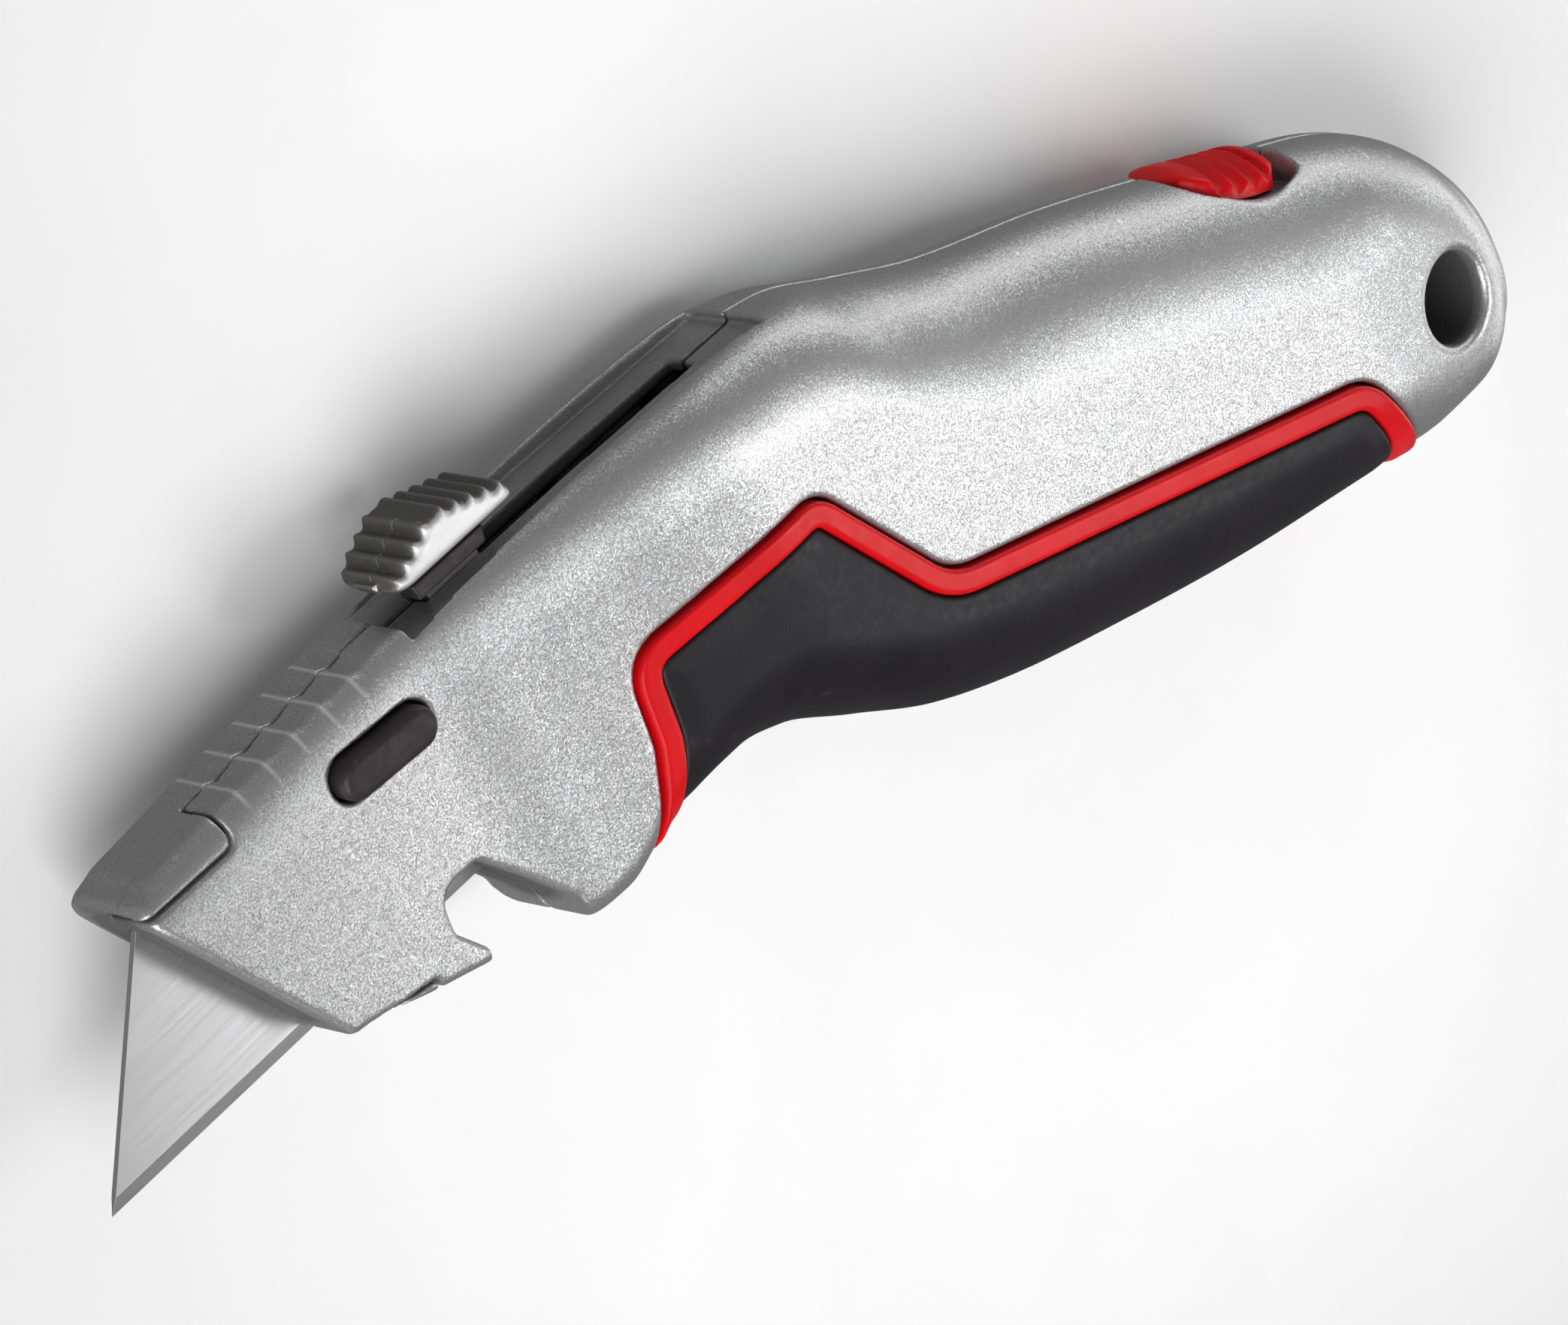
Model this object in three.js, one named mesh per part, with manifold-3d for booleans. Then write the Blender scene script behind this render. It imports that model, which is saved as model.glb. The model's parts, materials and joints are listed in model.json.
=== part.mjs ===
// Retractable utility knife: two cast case halves, a sliding blade carriage, a tool-free body latch,
// a blade release button and a magazine of spare blades. Millimetres.
//
// The knife is designed in a side view: X runs from the blade's tip towards the tail along the cutting
// edge, Y from the cutting edge towards the thumb slider, and Z across the case, with 0 on the parting
// plane. The finished group is moved so that its origin is the middle of the underside of its box.
import * as THREE from 'three';
import { mergeVertices } from 'three/addons/utils/BufferGeometryUtils.js';
import Module from 'manifold-3d';

const wasm = await Module();
wasm.setup();

// ---------------------------------------------------------------- driving dimensions
const SEAM = 0.15;            // each half stands this far from the parting plane
const GAP = 0.3;              // clearance between neighbouring pieces
const WALL = 1.8;             // thickness of the cast walls
const REACH = 14;             // half depth of cutting tools, more than the case's half width
const TAIL_X = 175.7;         // rear end of the case

// Case profiles as [x, value] points.
const TOP_EDGE = [
  [8, 23.2], [16, 23.8], [30, 24.8], [46, 25.4], [70, 25.4], [90, 24.9], [98, 23.6], [106, 19.8], [115, 15.4],
  [130, 10.2], [142, 5.3], [156, -0.9], [163, -4.2], [168, -7.9], [172, -12.6], [174.6, -17.8], [TAIL_X, -24.4],
];
const BOTTOM_EDGE = [
  [8, 0.3], [25, 0], [35, -2.6], [45, -5.6], [50, -7.6], [53, -8.5], [56, -8.7], [59, -7.9], [62, -6.5],
  [66, -6.1], [72, -6.1], [78, -7.7], [86, -12.6], [94, -17.6], [103, -21.4], [114, -24.8], [132, -29.6],
  [150, -33.3], [160, -35.5], [166, -35.8], [171, -33.7], [174.2, -29.8], [TAIL_X, -24.6],
];
const HALF_WIDTH = [
  [8, 6], [44, 6], [54, 6.9], [64, 8.4], [76, 10.2], [84, 11], [150, 11], [160, 10.5], [168, 9.6], [171.5, 8.2],
  [174, 5.6], [175.2, 3], [TAIL_X, 0.4],
];
// Rounding of the upper and lower shoulders: how far it reaches down the side, and in from the side.
const TOP_ROUND_Y = [[8, 3.5], [48, 3.5], [70, 5], [94, 9], [104, 13], [115, 14.5], [150, 14.5], [160, 11]];
const TOP_ROUND_Z = [[8, 3.5], [48, 3.5], [70, 4.8], [94, 7.5], [104, 10.5], [115, 11], [150, 11], [160, 9.8]];
const BOTTOM_ROUND_Y = [[8, 1], [44, 1], [50, 2.2], [60, 4], [70, 7], [84, 9.5], [100, 10]];
const BOTTOM_ROUND_Z = [[8, 1], [44, 1], [50, 2.2], [60, 4.2], [70, 7], [84, 9], [100, 9.5]];

// Slanted front face of the nose from the cutting edge upwards, rounded over at the top.
const NOSE_FACE = [[36.4, -20], [25, 0], [13.3, 20.5], [12.8, 21.9], [13.2, 23], [14.4, 23.7], [15, 60]];

const BLADE_LENGTH = 62;
const BLADE_HEIGHT = 19;
const BLADE_THICKNESS = 0.6;
const BLADE_SPINE = 33;       // length of the blade's short edge
const BLADE_NOTCHES = [23.5, 38.5];
const NOTCH_RADIUS = 1.5;
const SLIDE_TRAVEL = 27.5;    // from cutting position to fully retracted

const LUG_BACK = 23.5;        // nose lug of the right half, wrapped over the left half
const LUG_LOW = 21.9;
const LIP = [[22, 0.2], [34.4, -1.2], [34.6, -1.9], [34.4, -5], [22, -5]];

const CHANNEL = { x0: 48, x1: 94, floor: 24.35, drop: 0.6, under: 22.6, half: 4.8 };
const SLOT_HALF = 1.5;        // half width of the thumb slider's slot
const STEM = { x0: 53.5, x1: 60, half: 1.2 };
const RIB_GROOVES = { first: 28.8, pitch: 3.65, count: 4, half: 5, depth: 0.5 };

const WINDOW = { x: 39.7, y: 18.9, length: 11.9, width: 4.4, tilt: -3 };
const BUTTON_TOP = 7.5;       // the release button stands proud of the case by its travel
const HOLE = { x: 163.5, y: -22.4, radius: 4.4, wall: 6.2 };
const LATCH = { x: 142, y: 5.3, tilt: -24.2, front: 0.8, length: 13, half: 5.7, nose: 7, travel: 2.5 };
const MAGAZINE = { x: 126, y: -7, tilt: -20, length: 65.5, width: 21.8, low: -5.6, high: -1.2, wall: 1 };
const SPARE_BLADES = 3;
const GRIP_DEPTH = 2;         // thickness of the rubber grip and its border
const TRIM_WIDTH = 2.3;

// String-cutter notch behind the nose hook; [x, y, corner radius].
const NOTCH = [
  [40.3, -9.5, 0], [40.5, -2.7, 0.9], [38.2, 0.6, 0.7], [38.4, 4.7, 2.4], [43.3, 4.6, 1.6], [47.3, -0.6, 5],
  [50.4, -5, 2], [51.5, -9.5, 0],
];
// Outer edge of the red border on each side, closed below the belly; [x, y, corner radius].
const GRIP = [
  [58, -13, 0], [63.4, 1.6, 5], [64.2, 10.2, 4.2], [87.4, 11.1, 3], [96.6, -5, 5], [149, -21.2, 6],
  [155, -34, 0], [155, -40, 0], [58, -40, 0],
];

// ---------------------------------------------------------------- materials
const paint = (name, color, roughness, metalness) =>
  new THREE.MeshStandardMaterial({ name, color, roughness, metalness });
const MATERIAL = {
  silver: paint('silver paint', 0xa9a9ab, 0.42, 0.6),
  red: paint('red plastic', 0xd0141c, 0.35, 0),
  rubber: paint('black rubber', 0x1c1a1c, 0.75, 0),
  blade: paint('blade steel', 0xb6b6b8, 0.3, 0.9),
  steel: paint('spring steel', 0x85878a, 0.35, 0.9),
  slider: paint('slider metal', 0xbcbcbc, 0.45, 0.7),
  dark: paint('dark plastic', 0x2a2326, 0.5, 0),
};

// ---------------------------------------------------------------- solids
function solid(geometry) {
  const bare = geometry.clone();
  bare.deleteAttribute('normal');
  bare.deleteAttribute('uv');
  const merged = mergeVertices(bare, 1e-4);
  return new wasm.Manifold(new wasm.Mesh({
    numProp: 3,
    vertProperties: new Float32Array(merged.attributes.position.array),
    triVerts: new Uint32Array(merged.index.array),
  }));
}

function piece(name, shape, material) {
  const data = shape.getMesh();
  const geometry = new THREE.BufferGeometry();
  geometry.setAttribute('position', new THREE.BufferAttribute(new Float32Array(data.vertProperties), 3));
  geometry.setIndex(new THREE.BufferAttribute(new Uint32Array(data.triVerts), 1));
  geometry.computeVertexNormals();
  const mesh = new THREE.Mesh(geometry, material);
  mesh.name = name;
  return mesh;
}

const box = (x0, x1, y0, y1, z0, z1) => solid(
  new THREE.BoxGeometry(x1 - x0, y1 - y0, z1 - z0).translate((x0 + x1) / 2, (y0 + y1) / 2, (z0 + z1) / 2));

const disc = (x, y, radius, z0, z1, sides = 24) => solid(
  new THREE.CylinderGeometry(radius, radius, z1 - z0, sides)
    .rotateX(Math.PI / 2)
    .translate(x, y, (z0 + z1) / 2));

const toVectors = (points) => points.map(([x, y]) => new THREE.Vector2(x, y));

// Outline with rounded corners, from [x, y, radius] points.
function rounded(points, steps = 5) {
  const path = [];
  const corner = (i) => new THREE.Vector2(...points[(i + points.length) % points.length]);
  points.forEach(([, , radius = 0], i) => {
    const here = corner(i);
    if (!radius) {
      path.push([here.x, here.y]);
      return;
    }
    const back = corner(i - 1).sub(here).normalize();
    const on = corner(i + 1).sub(here).normalize();
    const halfAngle = Math.acos(THREE.MathUtils.clamp(back.dot(on), -1, 1)) / 2;
    const reach = radius / Math.tan(halfAngle);
    const curve = new THREE.QuadraticBezierCurve(
      here.clone().addScaledVector(back, reach), here, here.clone().addScaledVector(on, reach));
    curve.getPoints(steps).forEach((point) => path.push([point.x, point.y]));
  });
  return path;
}

// Moves each edge of a counter-clockwise outline outwards by a distance.
function grown(points, distance) {
  const ring = THREE.ShapeUtils.isClockWise(toVectors(points)) ? [...points].reverse() : points;
  return ring.map(([x, y], i) => {
    const [bx, by] = ring[(i + ring.length - 1) % ring.length];
    const [nx, ny] = ring[(i + 1) % ring.length];
    const before = new THREE.Vector2(y - by, bx - x).normalize();
    const after = new THREE.Vector2(ny - y, x - nx).normalize();
    const mitre = before.clone().add(after).normalize();
    const length = distance / Math.max(0.5, mitre.dot(after));
    return [x + mitre.x * length, y + mitre.y * length];
  });
}

// Closed outline extruded across the case, from z0 to z1.
function plate(points, z0, z1) {
  const shape = new THREE.Shape(toVectors(points));
  return solid(new THREE.ExtrudeGeometry(shape, { depth: z1 - z0, bevelEnabled: false }).translate(0, 0, z0));
}

// Extrudes [z, x] points along Y, and [y, z] points along X.
function plateAlongY(points, y0, y1) {
  const shape = new THREE.Shape(toVectors(points));
  const turn = new THREE.Matrix4().makeBasis(
    new THREE.Vector3(0, 0, 1), new THREE.Vector3(1, 0, 0), new THREE.Vector3(0, 1, 0));
  return solid(new THREE.ExtrudeGeometry(shape, { depth: y1 - y0, bevelEnabled: false })
    .translate(0, 0, y0).applyMatrix4(turn));
}

function plateAlongX(points, x0, x1) {
  const shape = new THREE.Shape(toVectors(points));
  const turn = new THREE.Matrix4().makeBasis(
    new THREE.Vector3(0, 1, 0), new THREE.Vector3(0, 0, 1), new THREE.Vector3(1, 0, 0));
  return solid(new THREE.ExtrudeGeometry(shape, { depth: x1 - x0, bevelEnabled: false })
    .translate(0, 0, x0).applyMatrix4(turn));
}

const placed = (shape, { x, y, tilt }) => shape.rotate([0, 0, tilt]).translate([x, y, 0]);

function oblong(length, width, steps = 8) {
  const radius = width / 2;
  const points = [];
  for (const [centre, start] of [[length / 2 - radius, -Math.PI / 2], [radius - length / 2, Math.PI / 2]]) {
    for (let i = 0; i <= steps; i += 1) {
      const angle = start + (Math.PI * i) / steps;
      points.push([centre + radius * Math.cos(angle), radius * Math.sin(angle)]);
    }
  }
  return points;
}

// ---------------------------------------------------------------- the case's body
// Smooth curve through [x, value] points that never overshoots them.
function curve(points) {
  const slope = points.slice(1).map(([x, v], i) => (v - points[i][1]) / (x - points[i][0]));
  const tangent = points.map((_, i) => {
    const [before, after] = [slope[i - 1] ?? slope[0], slope[i] ?? slope[slope.length - 1]];
    return before * after <= 0 ? 0 : (2 * before * after) / (before + after);
  });
  return (x) => {
    const last = points.length - 1;
    if (x <= points[0][0]) return points[0][1];
    if (x >= points[last][0]) return points[last][1];
    const i = points.findIndex(([px]) => px > x) - 1;
    const [[x0, v0], [x1, v1]] = [points[i], points[i + 1]];
    const h = x1 - x0;
    const t = (x - x0) / h;
    return (2 * t ** 3 - 3 * t ** 2 + 1) * v0 + (t ** 3 - 2 * t ** 2 + t) * h * tangent[i]
      + (3 * t ** 2 - 2 * t ** 3) * v1 + (t ** 3 - t ** 2) * h * tangent[i + 1];
  };
}

const topEdge = curve(TOP_EDGE);
const bottomEdge = curve(BOTTOM_EDGE);
const halfWidth = curve(HALF_WIDTH);
const topRoundY = curve(TOP_ROUND_Y);
const topRoundZ = curve(TOP_ROUND_Z);
const bottomRoundY = curve(BOTTOM_ROUND_Y);
const bottomRoundZ = curve(BOTTOM_ROUND_Z);

const STATIONS = [
  8, 16, 23, 30, 38, 44, 49, 54, 59, 64, 69, 74, 79, 84, 89, 94, 98, 102, 106, 110, 115, 122, 130, 136, 142, 150,
  156, 160, 164, 168, 170.5, 172.5, 174, 175.1, TAIL_X,
];
const ROUND_STEPS = 5;

// Closed ring of [x, y, z] points round the case at one station, drawn in by an inset.
function ring(x, inset) {
  const top = topEdge(x) - inset;
  const bottom = bottomEdge(x) + inset;
  const half = Math.max(halfWidth(x) - inset, 0.2);
  const rounds = [topRoundY(x), bottomRoundY(x)].map((r) => Math.max(r - inset, GAP));
  const shrink = Math.min(1, (0.92 * (top - bottom)) / (rounds[0] + rounds[1]));
  const [topY, bottomY] = rounds.map((r) => r * shrink);
  const topZ = Math.min(Math.max(topRoundZ(x) - inset, GAP), half * 0.98);
  const bottomZ = Math.min(Math.max(bottomRoundZ(x) - inset, GAP), half * 0.98);
  const side = [];
  for (let i = 0; i <= ROUND_STEPS; i += 1) {
    const angle = (Math.PI / 2) * (i / ROUND_STEPS);
    side.push([bottom + bottomY * (1 - Math.cos(angle)), half - bottomZ * (1 - Math.sin(angle))]);
  }
  for (let i = 0; i <= ROUND_STEPS; i += 1) {
    const angle = (Math.PI / 2) * (i / ROUND_STEPS);
    side.push([top - topY * (1 - Math.sin(angle)), half - topZ * (1 - Math.cos(angle))]);
  }
  return [...side.map(([y, z]) => [x, y, z]), ...side.reverse().map(([y, z]) => [x, y, -z])];
}

function body(inset) {
  const rings = STATIONS.map((x) => ring(x, inset));
  const count = rings[0].length;
  const positions = rings.flat();
  const index = [];
  for (let s = 0; s < rings.length - 1; s += 1) {
    for (let i = 0; i < count; i += 1) {
      const [a, b] = [s * count + i, s * count + ((i + 1) % count)];
      index.push(a, a + count, b, b, a + count, b + count);
    }
  }
  for (const [s, flip] of [[0, false], [rings.length - 1, true]]) {
    const start = s * count;
    for (let i = 1; i < count - 1; i += 1) {
      index.push(start, start + (flip ? i + 1 : i), start + (flip ? i : i + 1));
    }
  }
  const geometry = new THREE.BufferGeometry();
  geometry.setAttribute('position', new THREE.BufferAttribute(new Float32Array(positions.flat()), 3));
  geometry.setIndex(index);
  return solid(geometry);
}

const across = (points) => plate(points, -REACH, REACH);
const farSide = box(0, 190, -50, 50, -REACH, -SEAM);
const nearSide = box(0, 190, -50, 50, SEAM, REACH);
const gripOutline = rounded(GRIP);
const bladeOutline = [[0, 0], [BLADE_LENGTH, 0], [(BLADE_LENGTH + BLADE_SPINE) / 2, BLADE_HEIGHT],
  [(BLADE_LENGTH - BLADE_SPINE) / 2, BLADE_HEIGHT]];

// Latch outline in plan, [z, u]: a rounded front, straight sides and a rear half that narrows a little.
function latchPlan(front, back, half) {
  const points = [];
  for (let i = 0; i <= 10; i += 1) {
    const angle = -Math.PI / 2 + (Math.PI * i) / 10;
    points.push([half * Math.sin(angle), front + LATCH.nose * (1 - Math.cos(angle))]);
  }
  points.push([half, back - 3.6], [half - 0.8, back - 0.6], [half - 1.4, back]);
  points.push([1.4 - half, back], [0.8 - half, back - 0.6], [-half, back - 3.6]);
  return points;
}

function outerShape() {
  let shape = body(0)
    .subtract(across([[-10, 60], [-10, -20], ...NOSE_FACE]))
    .subtract(across(rounded(NOTCH)))
    .subtract(disc(HOLE.x, HOLE.y, HOLE.radius, -REACH, REACH, 32))
    .subtract(plate([[CHANNEL.x0, CHANNEL.floor], [70, CHANNEL.floor], [CHANNEL.x1, CHANNEL.floor - CHANNEL.drop],
      [CHANNEL.x1, 40], [CHANNEL.x0, 40]], -CHANNEL.half, CHANNEL.half))
    .subtract(box(STEM.x0 - 0.5, STEM.x1 + SLIDE_TRAVEL + 0.4, 20, 40, -SLOT_HALF, SLOT_HALF));
  for (let i = 0; i < RIB_GROOVES.count; i += 1) {
    const x = RIB_GROOVES.first + i * RIB_GROOVES.pitch;
    const y = topEdge(x);
    shape = shape.subtract(plate([[x - 1.3, y + 1], [x - 1.3, y + 0.1], [x, y - RIB_GROOVES.depth],
      [x + 1.3, y + 0.1], [x + 1.3, y + 1]], -RIB_GROOVES.half, RIB_GROOVES.half));
  }
  const latchRoom = latchPlan(LATCH.front - 2 * GAP, LATCH.length + LATCH.travel + GAP, LATCH.half + GAP);
  const pocket = plateAlongY(latchRoom, -3.2, 8);
  const stemSlot = box(3.6, 12.5, -9, 0, -1.2, 3.2);
  return shape.subtract(placed(pocket, LATCH)).subtract(placed(stemSlot, LATCH));
}

// Hollow of the case: a smaller body, kept away from everything that needs a wall round it.
function hollowShape() {
  const gripWall = across(grown(gripOutline, 1.5)).subtract(body(GRIP_DEPTH + GAP + 1.5));
  const latchFloor = placed(box(-2, 18, -4.7, 6, -8, 8), LATCH);
  return body(WALL)
    .intersect(box(31.5, 173, -60, 60, -REACH, REACH))
    .subtract(gripWall)
    .subtract(across(grown(rounded(NOTCH), 1.5)))
    .subtract(disc(HOLE.x, HOLE.y, HOLE.wall, -REACH, REACH, 32))
    .subtract(box(CHANNEL.x0 - 2, CHANNEL.x1 + 2, CHANNEL.under, 40, -8, 8))
    .subtract(latchFloor);
}

// Pockets that lighten the nose on each side of the blade, with a rib between them.
function nosePockets() {
  const front = plate([[19.2, 17.5], [25.4, 17.5], [25.4, 6.4]], -4.4, 4.4);
  const back = plate([[27.2, 17.5], [30, 17.5], [30, 3], [27.6, 3.4], [27.2, 4]], -4.4, 4.4);
  return front.add(back);
}

const outer = outerShape();
const hollow = hollowShape();
const bladeSlot = box(5, 92, -0.4, BLADE_HEIGHT + 0.4, -BLADE_THICKNESS, BLADE_THICKNESS);
const gripSeat = across(grown(gripOutline, GAP)).subtract(body(GRIP_DEPTH + GAP));
const lug = [[0, 40], [0, LUG_LOW], [LUG_BACK - 0.8, LUG_LOW], [LUG_BACK - 0.2, LUG_LOW + 0.8], [LUG_BACK, 40]];

function rightCase() {
  const wrapped = plate(lug, -2 * SEAM, REACH).add(plate(LIP, -2 * SEAM, REACH));
  const carriageRail = box(50.5, 93, 0.2, 1.7, -REACH, -1.2).intersect(body(WALL / 2));
  const trayPosts = [[-22, 0], [22, 0]].map(([u, v]) => placed(
    disc(u, v, 2, -REACH, MAGAZINE.low - GAP, 12), MAGAZINE).intersect(body(WALL / 2)));
  const shell = outer.intersect(farSide.add(wrapped))
    .subtract(hollow.intersect(farSide.add(box(0, 190, -50, 50, -1, 0))))
    .subtract(nosePockets().intersect(farSide.add(box(0, 190, -50, 50, -1, 0))));
  return trayPosts.reduce((sum, post) => sum.add(post), shell.add(carriageRail))
    .subtract(bladeSlot)
    .subtract(gripSeat)
    .subtract(box(40, 95, -10, 25, -0.3, 0.6));
}

function leftCase() {
  const window = placed(plate(oblong(WINDOW.length, WINDOW.width), 2, REACH), WINDOW);
  const keeperPosts = [15.9, 17.8].map((y) => disc(49.4, y, 0.7, 1.25, 6, 10));
  const catchRib = placed(box(-3, 0.2, -9, -4, 0.5, 9)
    .subtract(box(-2, 3, -8.6, -6, 1.6, 3.2)), LATCH).intersect(body(WALL / 2));
  const shell = outer.intersect(nearSide)
    .subtract(plate(grown(lug, GAP), -1, REACH))
    .subtract(plate(grown(LIP, GAP), -1, REACH))
    .subtract(hollow)
    .subtract(nosePockets())
    .subtract(bladeSlot)
    .subtract(gripSeat)
    .subtract(window);
  return keeperPosts.reduce((sum, post) => sum.add(post), shell.add(catchRib));
}

// Rubber grip and its red border lie in the same seat, a gap apart.
function gripPieces(side) {
  const layer = body(0).subtract(body(GRIP_DEPTH)).intersect(side);
  const pad = across(grown(gripOutline, -TRIM_WIDTH - GAP)).intersect(layer);
  const trim = layer.intersect(across(gripOutline)).subtract(across(grown(gripOutline, -TRIM_WIDTH)));
  const largest = (shape) => shape.decompose().sort((a, b) => b.volume() - a.volume())[0];
  return [largest(pad), largest(trim)];
}

// ---------------------------------------------------------------- blade and its carriage
function bladeSolid(z0) {
  const z1 = z0 + BLADE_THICKNESS;
  const ground = plateAlongX([[-0.01, z0 - 1], [1.3, z0], [-0.01, z0 + 0.28]], -5, BLADE_LENGTH + 5)
    .add(plateAlongX([[-0.01, z1 - 0.28], [1.3, z1], [-0.01, z1 + 1]], -5, BLADE_LENGTH + 5));
  return BLADE_NOTCHES.reduce(
    (shape, x) => shape.subtract(disc(x, BLADE_HEIGHT + 0.3, NOTCH_RADIUS, z0 - 1, z1 + 1, 16)),
    plate(bladeOutline, z0, z1).subtract(ground));
}

function bladeCarrier() {
  const bed = plate([[35, 7], [50, 7], [52.5, 2.2], [66, 2.2], [66, 19], [51.6, 19], [51.6, 21.2], [43, 21.2],
    [41, 20.7], [35, 20.7]], -3.4, -0.6);
  const block = box(51.5, 63.5, 9, 19, -3.4, 3.4);
  const leafPost = box(44.5, 51.6, 19.6, 21.2, -3.4, 0.3);
  const peg = disc(BLADE_NOTCHES[1], BLADE_HEIGHT + 0.3, NOTCH_RADIUS - 0.4, -1, 0.45, 16);
  const bladeRoom = plate(grown(bladeOutline, GAP), -0.6, 0.6);
  return bed.add(block).subtract(bladeRoom).add(leafPost).add(peg)
    .subtract(box(52.7, 61.3, 11.3, 18, -2.7, 2.7))
    .subtract(box(52.9, 60.6, 17, 20, -SLOT_HALF, SLOT_HALF))
    .subtract(disc(49.2, 20.4, 0.75, -4, 1, 12));
}

const clampLeaf = () => plate([[37, 9], [43, 9], [43, 15.4], [50.4, 19.6], [50.4, 21.2], [45, 21.2], [37, 17]],
  0.6, 0.9).subtract(disc(49.2, 20.4, 0.75, 0, 1.5, 12));

const clampRivet = () => disc(49.2, 20.4, 0.45, -3, 1.4, 12).add(disc(49.2, 20.4, 0.78, 1.2, 1.5, 12));

// Side view of the slider's ribbed top: waves up the front and down the back.
function sliderProfile() {
  const points = [[49.4, 27.4], [48.9, 28.2]];
  const wavy = (from, to, waves, height) => {
    const along = new THREE.Vector2(to[0] - from[0], to[1] - from[1]);
    const out = new THREE.Vector2(-along.y, along.x).normalize();
    for (let i = 0; i <= waves * 4; i += 1) {
      const t = i / (waves * 4);
      const lift = height * Math.abs(Math.sin(Math.PI * waves * t));
      points.push([from[0] + along.x * t + out.x * lift, from[1] + along.y * t + out.y * lift]);
    }
  };
  wavy([49, 28.6], [55.4, 31.6], 4, 0.4);
  wavy([55.8, 31.5], [63.8, 29], 5, 0.35);
  points.push([64.2, 28.4], [64.2, 27.4]);
  return points;
}

function thumbSlider() {
  const cap = plate(sliderProfile(), -4.2, 4.2);
  const stem = box(STEM.x0, STEM.x1, 16.2, 27.5, -STEM.half, STEM.half);
  const foot = box(53, 61, 16.2, 17.7, -2.4, 2.4);
  const tooth = box(56, 58, 20.7, 21.4, -2.6, 0);
  return cap.add(stem).add(foot).add(tooth);
}

// Bowed strip between x0 and x1: its ends at `low`, its middle at `high`.
function bow(x0, x1, low, high, thickness, steps = 10) {
  const lower = [];
  for (let i = 0; i <= steps; i += 1) {
    const t = i / steps;
    lower.push([x0 + (x1 - x0) * t, low + (high - thickness - low) * Math.sin(Math.PI * t)]);
  }
  return [...lower, ...lower.map(([x, y]) => [x, y + thickness]).reverse()];
}

const swapped = (points) => points.map(([x, z]) => [z, x]);

function detentStrip() {
  const strip = box(49, 90, 21.7, 22.3, -3.4, -1.6);
  return [57, 57 + SLIDE_TRAVEL / 2, 57 + SLIDE_TRAVEL].reduce(
    (shape, x) => shape.subtract(box(x - 1.4, x + 1.4, 21, 23, -2.9, -1)), strip);
}

// ---------------------------------------------------------------- blade release button
function releaseButton() {
  const cap = placed(plate(oblong(WINDOW.length - 2 * GAP, WINDOW.width - 2 * GAP), 2.9, BUTTON_TOP), WINDOW);
  const flange = placed(plate(oblong(WINDOW.length + 2.4, WINDOW.width + 2), 2.9, 3.8), WINDOW);
  const plunger = disc(36.4, 17, 0.9, 2.4, 3, 12);
  return cap.add(flange).add(plunger);
}

const buttonKeeper = () => [15.9, 17.8].reduce((shape, y) => shape.subtract(disc(49.4, y, 1, 0, 3, 12)),
  plate([[33, 15.2], [50.8, 14.8], [50.8, 18.9], [33, 18.9]], 1.2, 1.5)).subtract(disc(36.4, 17, 1.3, 0, 3, 12));

// ---------------------------------------------------------------- latch, in its own tilted frame
function latchButton() {
  const ribs = [[0.2, -2.9], [LATCH.length, -2.9], [LATCH.length, -0.6], [LATCH.length - 0.5, 0.6]];
  for (let i = 0; i <= 20; i += 1) {
    const u = LATCH.length - 1 - i * 0.4;
    ribs.push([u, 0.7 + 0.3 * Math.abs(Math.sin((Math.PI * i) / 4))]);
  }
  ribs.push([2.2, 0.5], [0.2, -0.1]);
  const crown = [[-3.2, -7], [-3.2, 7]];
  for (let i = 0; i <= 12; i += 1) {
    const z = 7 - (14 * i) / 12;
    crown.push([1.2 - 14.5 * (1 - Math.sqrt(1 - (z / 11) ** 2)), z]);
  }
  const cap = plateAlongY(latchPlan(LATCH.front, LATCH.length, LATCH.half), -2.9, 4)
    .intersect(plate(ribs, -8, 8))
    .intersect(plateAlongX(crown, -2, 16));
  return cap.add(box(4, 9, -5, -2.8, -0.8, 2.8)).subtract(latchScrewAxis(1.15, -6, -3.4));
}

// Upright cylinder on the latch screw's axis.
const latchScrewAxis = (radius, v0, v1) => solid(
  new THREE.CylinderGeometry(radius, radius, v1 - v0, 12).translate(6.5, (v0 + v1) / 2, 1.2));

const latchPlate = () => box(2, 12, -6.2, -5.3, -0.8, 4.5).add(box(0.6, 3, -8.2, -5.3, 1.9, 2.9))
  .subtract(latchScrewAxis(1.15, -7, -5));

const latchScrew = () => latchScrewAxis(0.8, -7, -3.8).add(latchScrewAxis(1.6, -7.3, -6.5));

// ---------------------------------------------------------------- magazine, in its own tilted frame
function magazineTray() {
  const { length, width, low, high, wall } = MAGAZINE;
  const outline = (inset, radius) => {
    const [a, b] = [length / 2 - inset, width / 2 - inset];
    return rounded([[-a, -b, radius], [a, -b, radius], [a, b, radius], [-a, b, radius]], 3);
  };
  return plate(outline(0, 3), low, high).subtract(plate(outline(wall, 0.5), low + 0.7, high + 1))
    .subtract(box(-6, 6, -width, width, low + 0.7, high + 1));
}

const spareBlade = (i) => bladeSolid(MAGAZINE.low + 1 + i * (BLADE_THICKNESS + GAP))
  .translate([-BLADE_LENGTH / 2, -BLADE_HEIGHT / 2, 0]);

const magazineSpring = () => plateAlongY(
  swapped(bow(-24, 24, MAGAZINE.low + 3.7, MAGAZINE.high - 0.1, 0.2, 12)), -5, 5);

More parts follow.
